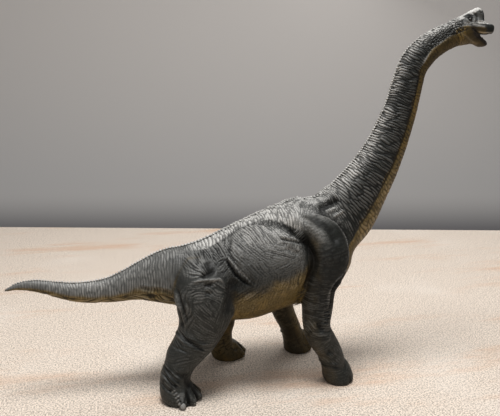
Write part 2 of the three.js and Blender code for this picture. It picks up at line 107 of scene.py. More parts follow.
# Neck stations from its root: dorsal and ventral points and half width
NECK_SHARES = [
    (-0.115, 0.19, 0.215, -0.107, 1),
    (-0.045, 0.215, 0.323, -0.015, 0.886),
    (0.085, 0.293, 0.425, 0.121, 0.786),
    (0.195, 0.374, 0.515, 0.243, 0.709),
    (0.285, 0.458, 0.585, 0.362, 0.645),
    (0.355, 0.543, 0.635, 0.465, 0.595),
    (0.41, 0.618, 0.675, 0.558, 0.555),
    (0.45, 0.699, 0.705, 0.646, 0.527),
    (0.485, 0.774, 0.73, 0.724, 0.505),
    (0.53, 0.849, 0.75, 0.777, 0.486),
    (0.595, 0.908, 0.79, 0.815, 0.468),
    (0.695, 0.963, 0.855, 0.858, 0.45),
    (0.815, 1.005, 0.945, 0.896, 0.427),
    (0.935, 1.04, 1.045, 0.924, 0.418),
]
# Skull, crest and jaw stations from the head base, written alike
SKULL_SHARES = [
    (0.063, 0.405, 0.263, -0.253, 0.99),
    (0.225, 0.489, 0.388, -0.214, 1),
    (0.388, 0.532, 0.513, -0.135, 0.95),
    (0.538, 0.502, 0.625, -0.05, 0.83),
    (0.675, 0.417, 0.725, 0.005, 0.75),
    (0.788, 0.344, 0.825, 0.026, 0.715),
    (0.9, 0.317, 0.913, 0.029, 0.68),
    (0.978, 0.277, 0.98, 0.05, 0.55),
    (1.008, 0.205, 1.008, 0.114, 0.32),
]

# Leg stations from the top down, as shares of the sizes above
HIND_HEIGHTS = (0.72, 0.653, 0.567, 0.48, 0.4, 0.333, 0.267, 0.207, 0.147, 0.087, 0.04, 0)
HIND_SIDES = (0.5, 0.6, 0.65, 0.7, 0.725, 0.75, 0.775, 0.8, 0.825, 0.85, 0.875, 0.875)
HIND_WIDTHS = (0.457, 0.8, 0.971, 1, 0.943, 0.857, 0.8, 0.743, 0.686, 0.714, 0.829, 0.829)
HIND_PLACES = {
    "right": (0.073, 0.08, 0.083, 0.09, 0.085, 0.053, 0.01, -0.032, -0.073, -0.077, -0.06, -0.053),
    "left": (0.087, 0.093, 0.107, 0.137, 0.167, 0.19, 0.205, 0.217, 0.227, 0.25, 0.283, 0.293),
}
HIND_DEPTHS = {
    "right": (0.375, 0.75, 0.938, 0.938, 0.844, 0.792, 0.771, 0.615, 0.5, 0.521, 0.625, 0.583),
    "left": (0.375, 0.75, 0.958, 1, 1, 0.938, 0.823, 0.688, 0.542, 0.479, 0.604, 0.583),
}
FORE_HEIGHTS = (0.933, 0.867, 0.787, 0.7, 0.613, 0.52, 0.427, 0.333, 0.273, 0.213, 0.147, 0.087, 0.033, 0)
FORE_SIDES = (0.4, 0.525, 0.625, 0.7, 0.725, 0.75, 0.775, 0.788, 0.8, 0.8, 0.813, 0.825, 0.825, 0.825)
FORE_WIDTHS = (0.533, 0.8, 0.933, 1, 1, 0.9, 0.833, 0.8, 0.8, 0.767, 0.733, 0.733, 0.833, 0.833)
FORE_PLACES = {
    "right": (
        0.687, 0.713, 0.733, 0.74, 0.738, 0.712, 0.702, 0.698, 0.717, 0.748, 0.782, 0.798, 0.813, 0.823,
    ),
    "left": (
        0.66, 0.687, 0.693, 0.68, 0.653, 0.623, 0.607, 0.615, 0.632, 0.657, 0.688, 0.71, 0.727, 0.733,
    ),
}
FORE_DEPTHS = {
    "right": (0.55, 0.85, 1, 1, 0.9, 0.65, 0.625, 0.563, 0.625, 0.625, 0.55, 0.488, 0.55, 0.525),
    "left": (0.55, 0.85, 1, 1, 0.9, 0.775, 0.65, 0.563, 0.538, 0.525, 0.488, 0.525, 0.6, 0.6),
}
LEG_SHARES = {
    "hind": (HIND_HEIGHTS, HIND_SIDES, HIND_WIDTHS, HIND_PLACES, HIND_DEPTHS, HIND_LEG_SIZE),
    "fore": (FORE_HEIGHTS, FORE_SIDES, FORE_WIDTHS, FORE_PLACES, FORE_DEPTHS, FORE_LEG_SIZE),
}
# Directions of the toes in degrees from straight ahead, from the inner toe outwards
TOE_ANGLES = {
    "hind_right": (-12, 20, 56, 92),
    "hind_left": (-36, 0, 40, 80),
    "fore_right": (-24, 8, 40, 74),
    "fore_left": (-30, 2, 34, 66),
}
BIG_TOE_SHARE = 1.05
# Toe stations outwards from the middle of the foot: reach, height, half height and half width
TOE_ROWS = {
    "hind": [
        (1, 10, 6, 4.6), (6, 9.4, 5.6, 4.3), (10, 7.2, 4.7, 3.7), (13, 5.0, 3.8, 3.1), (15.4, 3.4, 2.9, 2.5),
        (17, 2.6, 1.4, 1.3),
    ],
    "fore": [(1, 10, 10, 6), (6, 9.4, 9.4, 6), (9.4, 7, 7, 5.2), (12, 4.4, 4.4, 3.9), (13.4, 2.6, 1.6, 1.8)],
}

TAIL_SEAM = len(TAIL_SHARES)
NECK_SEAM = TAIL_SEAM + len(TORSO_SHARES) - 1
HEAD_SEAM = NECK_SEAM + len(NECK_SHARES)
SPINE_END = HEAD_SEAM + len(SKULL_SHARES)

# The body's skin: sides and steps of its tubes, and the blocks of distances in voxels
BODY_SIDES = 64
LEG_SIDES = 40
TOE_SIDES = 24
RING_STEP = 0.125
SOLE_DEPTH = 4
VOXEL = 1.08
BAND = 8
SHELL_LOW = (-200, -58, -8)
SHELL_SHAPE = (392, 117, 300)
LEG_REACH = (16, 18, 10)
# Over what distance joined parts blend into each other
SHARP_JOIN = 0.01
LEG_BLEND = 5.0
TOE_BLEND = 0.8
# How far the neck's skin lies inside the head's at their seam, and how the pieces' caps lie inside
SEAM_OVERLAP = 0.25
CAP_INSET = 1.6
CAP_PULL = 0.1

# Steps along the spine for its map, in stations, and spots across each of its places
MAP_STEP = 0.05
MAP_SPOTS = 21
# Small steps that give directions: along the spine in stations, and up a leg in millimetres
SPINE_NUDGE = 0.02
SLANT_STEP = 9
# Spacing of the neck's rings at its root and head, and the length over which it changes
ROOT_RING = 2.6
HEAD_RING = 1.8
NECK_RUN = 170
# Weight of the base pattern between patches of wrinkles, and the patches' own edge and spacing
BASE_WEIGHT = 0.03
PATCH_FLOOR = 0.02
PATCH_SPACING = 0.8
# The level of the patterns, from 0 in grooves to 1 on ridges, that leaves the skin where it is
SKIN_LEVEL = 0.6
# Spacing and size of the scales along the back: place in stations, millimetres
SCALE_PITCHES = [
    (0, 1.9), (TAIL_SEAM - 2, 2.5), (TAIL_SEAM + 2, 2.7), (NECK_SEAM - 2, 3.2), (NECK_SEAM + 1, 2.2),
]
SCALE_SIZES = [
    (0, 0.5), (4, 1.0), (TAIL_SEAM + 1, 1.25), (TAIL_SEAM + 4, 0.8), (NECK_SEAM - 1, 1.0), (HEAD_SEAM, 0.8),
]

HEAD_SIDES = 40
HEAD_VOXEL = 0.35
HEAD_LOW = (420, -38, 752)
HEAD_SHAPE = (172, 77, 140)

# Head forms in millimetres from the head base: dorsal x, z, ventral x, z and half width
SNOUT_ROWS = [
    (12.0, 11.6, 14.5, 4.6, 6.6),
    (17.0, 11.5, 18.0, 3.0, 6.9),
    (22.0, 11.1, 22.4, 1.7, 6.8),
    (28.0, 10.4, 28.2, 1.0, 6.9),
    (32.6, 10.0, 32.6, 0.9, 6.8),
    (35.6, 9.6, 35.4, 1.0, 6.2),
    (37.4, 8.9, 37.2, 1.8, 4.9),
    (38.6, 7.0, 38.4, 3.6, 2.6),
]
CREST_ROWS = [
    (10.0, 15.8, 12.0, 11.0, 2.2),
    (14.5, 19.2, 16.5, 11.0, 3.6),
    (19.0, 21.4, 20.0, 10.5, 4.2),
    (22.8, 22.8, 23.2, 10.0, 4.4),
    (25.6, 22.2, 25.4, 9.8, 4.2),
    (27.6, 20.2, 27.4, 9.6, 3.6),
    (28.5, 16.5, 28.5, 9.8, 2.6),
]
JAW_ROWS = [
    (11.5, 5.4, 14.0, -7.6, 6.8),
    (17.5, 3.6, 19.6, -6.9, 6.8),
    (22.3, 1.4, 23.4, -7.6, 6.5),
    (27.2, -1.6, 27.4, -9.2, 6.0),
    (30.8, -4.0, 30.6, -9.1, 5.0),
    (32.9, -6.0, 32.6, -8.2, 3.0),
]
# Hollows of the mouth and the nostrils: centre and radii
HEAD_HOLLOWS = [
    ((27.0, 0, 0.6), (11.5, 4.7, 2.6)),
    ((22.0, 0, 0.6), (8.0, 4.6, 2.8)),
    ((24.6, 4.5, 18.4), (1.2, 1.3, 1.0)),
]
# The open mouth seen from the side
MOUTH_OUTLINE = [
    (14.5, 4.2), (18, 2.9), (22, 1.7), (28, 1.0), (34, 0.9), (42, 1.2), (42, -7.0), (33.2, -5.9),
    (30.6, -4.3), (27.4, -2.0), (24.0, 0.2), (20.5, 1.7), (17.0, 2.9),
]
TONGUE = ((23.5, 0.0, -2.2), (7.0, 3.0, 1.6))
EYE = (13.3, 5.5, 12.1)
EYE_RADIUS = 1.7
# Creases of the head's side that the paint follows
CREST_CREASE = [(16.6, 18.4), (18.8, 17.2), (20.5, 14.8), (20.2, 12.9), (19.0, 11.2)]
EYE_CREASE = [(7.0, 9.4), (11.0, 9.3), (14.5, 9.9), (18.5, 10.9), (22.5, 10.6), (27.0, 9.6)]
CHIN_CREASE = [(4.0, 0.6), (8.5, -2.1), (12.0, -4.2), (15.5, -5.6), (19.0, -6.6)]
SNOUT_CREASE = [(18.8, 9.6), (23.1, 8.7), (28.0, 8.2), (34.0, 8.2)]
# Creases of the head: line, half width and depth
HEAD_CREASES = [
    ([(5.5, 13.5), (8.0, 15.6), (11.5, 16.4), (15.0, 15.8), (17.5, 14.0)], 0.9, 0.9),
    (EYE_CREASE, 0.7, 0.7),
    (CHIN_CREASE, 0.8, 0.7),
    ([(22.6, 17.6), (23.4, 19.8), (25.2, 20.2), (26.2, 18.4)], 0.6, 0.5),
    ([(14.0, 2.9), (20.0, 1.7), (27.0, 1.3), (34.0, 1.2), (39.0, 2.6)], 0.8, 0.55),
    (CREST_CREASE, 0.9, 1.1),
    (SNOUT_CREASE, 0.7, 0.35),
    ([(6.2, 12.2), (6.8, 9.0), (8.4, 7.4)], 0.7, 0.5),
    ([(13.0, 5.6), (15.5, 3.8), (18.5, 2.2)], 0.9, 0.9),
]
# Small pits: place, width and depth
HEAD_PITS = [((3.4, 10.6), 1.0, 0.7), ((-1.3, 8.0), 0.9, 0.5), ((1.1, 7.3), 0.8, 0.4), ((4.4, 7.0), 0.7, 0.4)]
# Pale streaks: line and strength
HEAD_STREAKS = [
    (EYE_CREASE, 0.3),
    (CHIN_CREASE, 0.24),
    ([(14.5, 8.2), (19, 7.4), (22, 7.2), (25.5, 6.6)], 0.65),
]
# Borders of the head's paint on the same view
CHEEK_LINE = [(-8, -1.0), (2, 5.6), (9, 6.5), (14, 6.6), (22, 6.4), (32, 6.0), (40, 5.6)]
LIP_LINE = [(14, 3.4), (20, 1.9), (26, 1.5), (34, 1.3), (40, 2.2)]
ROOF_LINE = [
    (-4, 8.0), (2.4, 12.9), (8.1, 15.6), (13.5, 17.4), (18, 19.6), (20.4, 21.6), (22.9, 22.8), (25.5, 22.2),
    (28.2, 20.6),
]
LOWER_LINE = [(12, 5.0), (22, 1.6), (28, 0.9), (34, 0.8)]

# Smooth curves through stations


def smooth_rows(rows, places):
    """Catmull-Rom values through rows of numbers, at places counted in rows."""
    rows = np.asarray(rows, float)
    padded = np.vstack([2 * rows[0] - rows[1], rows, 2 * rows[-1] - rows[-2]])
    places = np.clip(np.asarray(places, float), 0, len(rows) - 1)
    low = np.minimum(places.astype(int), len(rows) - 2)
    share = (places - low)[:, None]
    before, start, end, after = (padded[low + step] for step in range(4))
    bend = 2 * before - 5 * start + 4 * end - after
    twist = 3 * (start - end) + after - before
    return start + 0.5 * share * (end - before + share * (bend + share * twist))


def spine_rows():
    """Every station of the spine as dorsal x, z, ventral x, z and half width, in millimetres."""
    root = (TAIL_ROOT_X, 0)
    torso = [from_shares(root, row, TORSO_LENGTH, SHOULDER_HEIGHT, CHEST_WIDTH) for row in TORSO_SHARES]
    root_level = (torso[0][1] + torso[0][3]) / 2
    root_half = (torso[0][1] - torso[0][3]) / 2
    tail = []
    for behind, lift, height, width in TAIL_SHARES:
        place = TAIL_ROOT_X - behind * TAIL_LENGTH
        level = root_level + lift * TAIL_LENGTH
        half = height * root_half
        tail.append((place, level + half, place, level - half, width * torso[0][4]))
    neck = [from_shares(middle_of(torso[-1]), row, NECK_REACH, NECK_RISE, NECK_WIDTH) for row in NECK_SHARES]
    base = middle_of(neck[-1])
    skull = [from_shares(base, row, HEAD_LENGTH, HEAD_HEIGHT, HEAD_WIDTH) for row in SKULL_SHARES]
    return np.array(tail + torso + neck + skull), np.array(base)


def middle_of(station):
    """The point half way between a station's dorsal and ventral points."""
    return (station[0] + station[2]) / 2, (station[1] + station[3]) / 2


def from_shares(origin, row, length, height, width):
    """A station from shares of three sizes, measured from an origin."""
    return (
        origin[0] + row[0] * length,
        origin[1] + row[1] * height,
        origin[0] + row[2] * length,
        origin[1] + row[3] * height,
        row[4] * width / 2,
    )


SPINE, HEAD_BASE = spine_rows()


def circle(sides):
    """Angles of the corners of a ring."""
    return np.linspace(0, 2 * np.pi, sides, endpoint=False)


def section_rings(rows, rise, spread):
    """Rings through stations, from each corner's shares of a station's half height and half width."""
    dorsal, ventral = rows[:, None, :2], rows[:, None, 2:4]
    plane = (dorsal + ventral) / 2 + (dorsal - ventral) / 2 * rise[:, None]
    return np.stack([plane[..., 0], rows[:, 4, None] * spread, plane[..., 1]], axis=-1)


def body_tube(rows):
    """A closed skin through stations of the spine, narrower along the back than below."""
    angle = circle(BODY_SIDES)
    crown = 1 - CROWN_SHARE * np.cos(angle)
    return closed_tube(section_rings(rows, np.cos(angle), np.sin(angle) * crown))


def closed_tube(rings):
    """Points and triangles of a closed skin through rings."""
    count, sides = rings.shape[:2]
    points = np.vstack([rings.reshape(-1, 3), rings[0].mean(axis=0), rings[-1].mean(axis=0)])
    corner = np.arange(sides)
    after = (corner + 1) % sides
    row = (np.arange(count - 1) * sides)[:, None]
    last = (count - 1) * sides
    start, end = count * sides, count * sides + 1
    faces = [
        np.stack([row + corner, row + corner + sides, row + after], -1).reshape(-1, 3),
        np.stack([row + after, row + corner + sides, row + after + sides], -1).reshape(-1, 3),
        np.stack([np.full(sides, start), corner, after], -1),
        np.stack([np.full(sides, end), last + after, last + corner], -1),
    ]
    return points, np.vstack(faces)


def leg_stations(pair, side):
    """Centre x, centre y, height, half depth and half width of each station of a leg."""
    heights, sides, widths, places, depths, (depth, width) = LEG_SHARES[pair]
    columns = [
        np.array(places[side]) * TORSO_LENGTH + TAIL_ROOT_X,
        SIGNS[side] * (np.array(sides) * CHEST_WIDTH / 2),
        np.array(heights) * SHOULDER_HEIGHT,
        np.array(depths[side]) * (depth / 2),
        np.array(widths) * (width / 2),
    ]
    return np.stack(columns, axis=1)


def finer_rows(rows, steps=8):
    """Rows with smooth steps between them."""
    return smooth_rows(rows, np.linspace(0, len(rows) - 1, (len(rows) - 1) * steps + 1))


def leg_tube(stations):
    """A closed skin of level rings round a leg, from its top to below the ground."""
    rows = finer_rows(stations)
    rows = np.vstack([rows, rows[-1] + (0, 0, -SOLE_DEPTH, 0, 0)])
    angle = circle(LEG_SIDES)
    x = rows[:, 0, None] + rows[:, 3, None] * np.cos(angle)
    y = rows[:, 1, None] + rows[:, 4, None] * np.sin(angle)
    z = np.repeat(rows[:, 2, None], LEG_SIDES, axis=1)
    return closed_tube(np.stack([x, y, z], axis=-1))


# Distance fields


def corner_weights(share):
    """Each corner of a cell, with its weight at places inside the cell."""
    for corner in np.ndindex(2, 2, 2):
        yield corner, np.prod(np.where(corner, share, 1 - share), axis=1)


class Block:
    """Distances to one part over a regular block of points."""

    def __init__(self, values, low, voxel):
        self.values = values
        self.low = np.array(low)
        self.voxel = voxel

    def read(self, points):
        """Distances at points, blended between the block's layers."""
        place = points / self.voxel - self.low
        low = np.clip(np.floor(place).astype(int), 0, np.array(self.values.shape) - 2)
        total = np.zeros(len(points))
        for corner, weight in corner_weights(np.clip(place - low, 0, 1)):
            index = low + corner
            total += weight * self.values[index[:, 0], index[:, 1], index[:, 2]]
        return total


class Field(Block):
    """A block of distances that closed meshes are joined to and cut from."""

    def __init__(self, low, shape, voxel):
        super().__init__(np.full(shape, BAND * voxel, np.float32), low, voxel)

    def reached(self, points, before, after):
        """The lowest corner of the block round some points, and its slices."""
        low = np.maximum(np.floor(points.min(axis=0) / self.voxel).astype(int) - before, self.low)
        high = np.ceil(points.max(axis=0) / self.voxel).astype(int) + after
        high = np.minimum(high, self.low + self.values.shape)
        return low, tuple(slice(int(a), int(b)) for a, b in zip(low - self.low, high - self.low))

    def distance(self, points, faces):
        """The distances to a closed mesh over the block that it reaches, and that block's slices."""
        low, slices = self.reached(points, BAND, BAND + 1)
        grid = openvdb.FloatGrid.createLevelSetFromPolygons(
            points.astype(np.float32),
            triangles=faces.astype(np.uint32),
            transform=openvdb.createLinearTransform(self.voxel),
            halfWidth=BAND,
        )
        values = np.empty(self.values[slices].shape, np.float32)
        grid.copyToArray(values, ijk=tuple(low.tolist()))
        return Block(values, low, self.voxel), slices

    def join(self, values, slices, blend):
        """Joins a block of distances smoothly."""
        mine = self.values[slices]
        share = np.clip(blend - np.abs(mine - values), 0, None) / blend
        self.values[slices] = np.minimum(mine, values) - share * share * blend / 4

    def add(self, points, faces, blend=SHARP_JOIN):
        """Joins a closed mesh and returns the block of its own distances."""
        block, slices = self.distance(points, faces)
        self.join(block.values, slices, blend)
        return block

    def cut(self, points, faces):
        """Cuts a closed mesh out."""
        block, slices = self.distance(points, faces)
        hollow = np.full(self.values.shape, BAND * self.voxel, np.float32)
        hollow[slices] = block.values
        self.values = np.maximum(self.values, -hollow)

    def skin(self, softening, rounds):
        """Points, normals and quads of the surface, softened and then divided some rounds."""
        grid = openvdb.FloatGrid(float(BAND * self.voxel))
        grid.transform = openvdb.createLinearTransform(self.voxel)
        grid.copyFromArray(self.values, ijk=tuple(self.low.tolist()))
        points, quads = grid.convertToQuads(0.0)
        quads = outward(points, quads)
        points = softened(points, quads, softening)
        for _ in range(rounds):
            points, quads = divided(points, quads)
        return points, unit_normals(points, quads), quads


# Patterns


def chance(*keys):
    """A repeatable random number from 0 to 1 for whole-number keys."""
    mixed = sum(np.asarray(key, float) * factor for key, factor in zip(keys, (127.1, 311.7, 74.7, 269.5)))
    value = np.sin(mixed) * 43758.5453
    return value - np.floor(value)


def most(*values):
    """The largest of several values, for each point."""
    return reduce(np.maximum, values)


def ease(low, high, value):
    """A smooth step from 0 at low to 1 at high."""
    share = np.clip((value - low) / (high - low), 0, 1)
    return share * share * (3 - 2 * share)


def bell(distance, width):
    """A bump of height 1 and the given half width."""
    return np.exp(-((distance / width) ** 2))


def cloud(points, size, seed):
    """Smooth random values from -1 to 1 in space, with lumps of the given size."""
    place = points / size + seed * 7.3
    low = np.floor(place)
    total = np.zeros(len(points))
    for corner, weight in corner_weights(ease(0, 1, place - low)):
        total += weight * chance(*(low + corner).T, seed)
    return total * 2 - 1


def wandering(points, seed):
    """How far the wrinkles stray from their straight course."""
    return cloud(points, 11.0, seed) * 1.5 + cloud(points, 4.5, seed + 1) * 0.55


def wave(length, spacing):
    """Round ridges at a spacing, from 0 in the grooves to 1 on the ridges."""
    return np.abs(np.sin(np.pi * length / spacing)) ** 0.7


def plates(along, across, seed, edge=0.35):
    """Raised plates round random points in unit cells, from 0 in their grooves to 1 on their tops."""
    first = np.full(along.shape, 9.0)
    second = first.copy()
    for step_along, step_across in np.ndindex(3, 3):
        cell_along = np.floor(along) + step_along - 1
        cell_across = np.floor(across) + step_across - 1
        gap_along = cell_along + chance(cell_along, cell_across, seed) - along
        gap_across = cell_across + chance(cell_along, cell_across, seed + 1) - across
        gap = np.hypot(gap_along, gap_across)
        second = np.where(gap < first, first, np.minimum(second, gap))
        first = np.minimum(first, gap)
    return ease(0, edge, second - first)


def ripple(along, across, seed):
    """Smooth random values from -1 to 1 over a plane of unit cells."""
    low_along, low_across = np.floor(along), np.floor(across)
    u, v = ease(0, 1, along - low_along), ease(0, 1, across - low_across)
    near, far = (
        chance(low_along, level, seed) * (1 - u) + chance(low_along + 1, level, seed) * u
        for level in (low_across, low_across + 1)
    )
    return 2 * (near * (1 - v) + far * v) - 1


def threads(along, across, seed, edge=0.5):
    """Thin winding grooves, from 0 in them to 1 between them."""
    return ease(0, edge, np.abs(ripple(along, across, seed)))


def hatch(x, z, degrees, spacing, seed):
    """Wrinkles that run one way over the side view, from 0 in their grooves to 1 between them."""
    turn = math.radians(degrees)
    across = (z * math.cos(turn) - x * math.sin(turn)) / spacing
    along = (x * math.cos(turn) + z * math.sin(turn)) / spacing
    strayed = across + 0.5 * ripple(along / 3.6, across / 2.4, seed)
    return 0.55 * wave(strayed, 1.0) + 0.45 * threads(strayed * 1.6, along / 4.5, seed + 3)


def patched(x, z, table, seed, base):
    """Wrinkles of a table of patches blended over a base pattern."""
    total = base * BASE_WEIGHT
    weights = np.full(x.shape, BASE_WEIGHT)
    for index, (centre_x, centre_z, reach_x, reach_z, degrees, spacing, depth) in enumerate(table):
        gap_x, gap_z = x - centre_x, z - centre_z
        weight = np.exp(-2.5 * (gap_x / reach_x) ** 2 - 2.5 * (gap_z / reach_z) ** 2) - PATCH_FLOOR
        rows = np.flatnonzero(weight > 0)
        lines = hatch(gap_x[rows], gap_z[rows], degrees, spacing * PATCH_SPACING, seed + 7 * index)
        total[rows] += weight[rows] * depth * (lines - SKIN_LEVEL)
        weights[rows] += weight[rows]
    return total / weights


def near_line(x, z, line):
    """Distance to a line of points, the share along it and the side on which a point lies."""
    line = np.asarray(line, float)
    best = np.full(x.shape, 1e9)
    along = np.zeros(x.shape)
    side = np.ones(x.shape)
    for index in range(len(line) - 1):
        start, end = line[index], line[index + 1]
        step = end - start
        share = np.clip(((x - start[0]) * step[0] + (z - start[1]) * step[1]) / step.dot(step), 0, 1)
        gap_x = x - start[0] - share * step[0]
        gap_z = z - start[1] - share * step[1]
        gap = np.hypot(gap_x, gap_z)
        nearer = gap < best
        best = np.where(nearer, gap, best)
        along = np.where(nearer, (index + share) / (len(line) - 1), along)
        side = np.where(nearer, np.sign(step[0] * gap_z - step[1] * gap_x), side)
    return best, along, side


def tapered(along, share):
    """1 along a line, falling to 0 over a share of it at each end."""
    return ease(0, share, along) * ease(0, share, 1 - along)


def fold(x, z, line, width, depth, lip=0.0):
    """A groove along a line that fades at its ends, with a raised lip; a negative depth makes a ridge."""
    gap, along, _ = near_line(x, z, line)
    return tapered(along, 0.18) * (lip * bell(gap - 2 * width, width) - depth * bell(gap, width))


def folded(x, z, table):
    """The folds of a table of lines and sizes, added up."""
    return sum(fold(x, z, *row) for row in table)


# Places on the body


def spine_sections(places):
    """Middle, half height as a vector and half width of the spine's sections."""
    rows = smooth_rows(SPINE, places)
    return (rows[:, :2] + rows[:, 2:4]) / 2, (rows[:, :2] - rows[:, 2:4]) / 2, rows[:, 4]


@lru_cache(maxsize=1)
def spine_tree():
    """Places along the spine, the spine's length up to them, and a tree of spots on their sections."""
    places = np.arange(0, SPINE_END - 1 + 0.02, MAP_STEP)
    rows = smooth_rows(SPINE, places)
    middle = (rows[:, :2] + rows[:, 2:4]) / 2
    steps = np.linalg.norm(np.diff(middle, axis=0), axis=1)
    shares = np.linspace(0, 1, MAP_SPOTS)[:, None]
    spots = rows[:, None, :2] * (1 - shares) + rows[:, None, 2:4] * shares
    tree = KDTree(len(places) * MAP_SPOTS)
    for index, (x, z) in enumerate(spots.reshape(-1, 2)):
        tree.insert((x, z, 0), index)
    tree.balance()
    return places, np.concatenate([[0], np.cumsum(steps)]), tree


def spine_places(points):
    """Place in stations, length along the spine, angle from the back and radius, for each point."""
    places, lengths, tree = spine_tree()
    flat = points[:, (0, 2)]
    cell, back = np.unique(np.round(flat / VOXEL).astype(int), axis=0, return_inverse=True)
    found = np.array([tree.find((x * VOXEL, z * VOXEL, 0))[1] for x, z in cell])
    place = places[found // MAP_SPOTS][back.ravel()]
    for _ in range(3):
        middle, half, _ = spine_sections(place)
        up = half / np.linalg.norm(half, axis=1, keepdims=True)
        ahead = np.stack([up[:, 1], -up[:, 0]], axis=1)
        speed = ((spine_sections(place + MAP_STEP)[0] - middle) * ahead).sum(axis=1) / MAP_STEP
        off = ((flat - middle) * ahead).sum(axis=1)
        place = np.clip(place + np.clip(off / np.maximum(speed, 2.0), -0.6, 0.6), 0, SPINE_END - 1)
    middle, half, width = spine_sections(place)
    size = np.linalg.norm(half, axis=1)
    rise = ((flat - middle) * half).sum(axis=1) / size**2
    angle = np.arctan2(np.abs(points[:, 1]) / width, rise)
    return place, np.interp(place, places, lengths), angle, (size + width) / 2


def leg_places(points, side, stations):
    """Place across a leg, height along its slant, angle from its front and radius, for each point."""
    rows = stations[::-1]
    height, heights = points[:, 2], rows[:, 2]
    centre_x, centre_y, depth, width = (
        np.interp(height, heights, rows[:, column]) for column in (0, 1, 3, 4)
    )
    above, below = (np.interp(height + step, heights, rows[:, 0]) for step in (SLANT_STEP, -SLANT_STEP))
    across = (points[:, 0] - centre_x) / depth
    out = (points[:, 1] - centre_y) / width * SIGNS[side]
    slant = height + (above - below) / (2 * SLANT_STEP) * (points[:, 0] - centre_x)
    return across, slant, np.arctan2(out, across), (depth + width) / 2


class SkinPlaces:
    """Where points of the skin lie along and around the spine, and over the flank."""

    def __init__(self, points):
        self.points = points
        self.x, self.z = side_view(points)
        self.place, self.length, self.angle, self.radius = spine_places(points)
        self.around = self.angle * self.radius
        self.wander = wandering(points, 3)
        self.course = self.length + self.wander
        stray = self.wander * 1.5 + 4.0 * cloud(points, 17.0, 19)
        hand = np.sign(points[:, 1])
        self.spread = self.around * hand + stray
        self.low_spread = (np.pi - self.angle) * self.radius * hand + stray
        self.neck = ease(NECK_SEAM - 0.7, NECK_SEAM + 1.2, self.place)
        self.tail = 1 - ease(TAIL_SEAM - 0.8, TAIL_SEAM + 1.2, self.place)
        self.torso = (1 - self.neck) * (1 - self.tail)
        self.edge = olive_edge(self.place)
        self.upper = 1 - ease(self.edge - 0.08, self.edge + 0.08, self.angle)


# Lines on the right flank in millimetres, seen from the side: x from an origin on the torso, height
FLANK_ORIGIN = TAIL_ROOT_X + 66.0
# Where the left flank slides to match the right one's stride: from where and to where along x
STRIDE_REACH = (("fore", -8, 14), ("hind", -18, -36))
BARREL_CREASE = [
    (-14, 130), (-7, 132.5), (0, 134), (8, 133.5), (15, 131), (21, 127), (26, 122.5), (29.6, 117),
    (31.6, 112), (32.7, 106), (31.9, 99), (29.5, 92), (27, 86), (26.4, 79),
]
BAND_EDGE = [
    (-48, 115), (-40, 119.5), (-32.3, 123.2), (-25.9, 126.7), (-17.5, 130.9), (-10.4, 133), (-3.4, 135),
]
# The lower border of the pale ribs along the back
BAND_BORDER = [
    (-64, 112), (-48, 115), (-40, 119.5), (-32.3, 123.2), (-25.9, 126.7), (-17.5, 131), (-10.4, 133.6),
    (-3.4, 135.6), (4, 136.4), (12, 134.6), (20, 131), (28, 126),
]
# Bumps and dips of the back's outline over the shoulders: x, height
WITHERS = [
    (-4, 0), (3, -0.8), (8, -1.4), (11.5, -0.2), (16, -3.2), (21, -2.4), (26, -2.0), (30, -1.0), (36, -3.4),
    (40, -3.0), (44, -3.4), (51, -2.6), (58, -0.8), (64, 0),
]
# Middles of the swelling of the chest and of the calm skin at the tail's root
CHEST = (83.5, 101)
CALM = (-75, 93)
SHOULDER_RIM = [
    (22, 145), (28, 143), (35, 141), (42, 138.6), (48, 136), (53.5, 132.5), (58, 127), (61, 120.5),
    (61.7, 114), (61.2, 107), (59, 101), (55, 95.4), (49, 91), (45, 86), (43.2, 80),
]
SHOULDER_HOLLOW = [
    (24, 141.5), (31, 138.4), (37.6, 134.9), (43.6, 131), (47.7, 126.5), (50, 121.5), (51, 116),
]
SHOULDER_TOP = [
    (18, 139.5), (23, 137.5), (28, 134), (33.5, 130), (39, 124.8), (43, 117.4), (43.8, 108.7), (42.2, 101),
]
NECK_POCKET = [(43, 142.2), (48, 144.4), (53, 146.5), (58, 148), (63, 151)]
NECK_BARS = [[(48.6, 140.7), (54, 142.3), (59, 144)], [(54, 135.8), (60.4, 139), (66, 141.9)]]
BARREL_SLITS = [
    ([(6.5, 123), (13.4, 122.4), (19.2, 121), (26, 118.5)], 1.0, 2.0),
    ([(10, 116.5), (15, 114.2), (19.5, 111)], 1.8, 1.0),
]
BARREL_RIDGES = [
    [(23.5, 108), (23.7, 101.4), (22, 94.9), (20.1, 90.2), (17.5, 84.8)],
    [(27.6, 106.3), (27.8, 99.8), (25.8, 92.3), (23.5, 84.6), (23, 79.8)],
    [(-27, 104), (-25, 110), (-26, 117)],
    [(-15, 92), (-17, 99), (-19, 107)],
]
FLANK_FOLD = [
    (-35.5, 109), (-34.5, 106.7), (-32, 102.2), (-29.2, 98), (-25.1, 94.4), (-20.8, 91.1), (-17, 89.5),
]
FLANK_RIDGE = [(-36.3, 112), (-33, 108.5), (-30, 105), (-27, 101.6), (-23, 97.4), (-18.9, 93)]
HIP_PITS = [
    ([(-57, 99.4), (-53, 100.4), (-49, 101), (-44, 102)], 1.9, 2.0),
    ([(-49, 108), (-49.4, 104), (-49.8, 100)], 2.2, 1.0),
    ([(-55.5, 93.4), (-52, 93.8), (-47.5, 93.2)], 1.3, 1.5),
    ([(-55, 88.4), (-52, 88), (-48.6, 86.4)], 1.2, 1.0),
]
HIP_PIT = (-50, 99)
HIP_SHELF = [(-65, 94.5), (-58.5, 96.6), (-53.2, 97.2), (-47.8, 96.3), (-43.1, 96), (-38.6, 92)]
HIP_LINE = [(-29.2, 121), (-31.2, 116.2), (-33, 111.5)]
GROIN = [(-27, 96), (-31, 91.5), (-33.5, 86.5), (-34, 81.5), (-35.6, 77), (-37.6, 72), (-40, 66)]
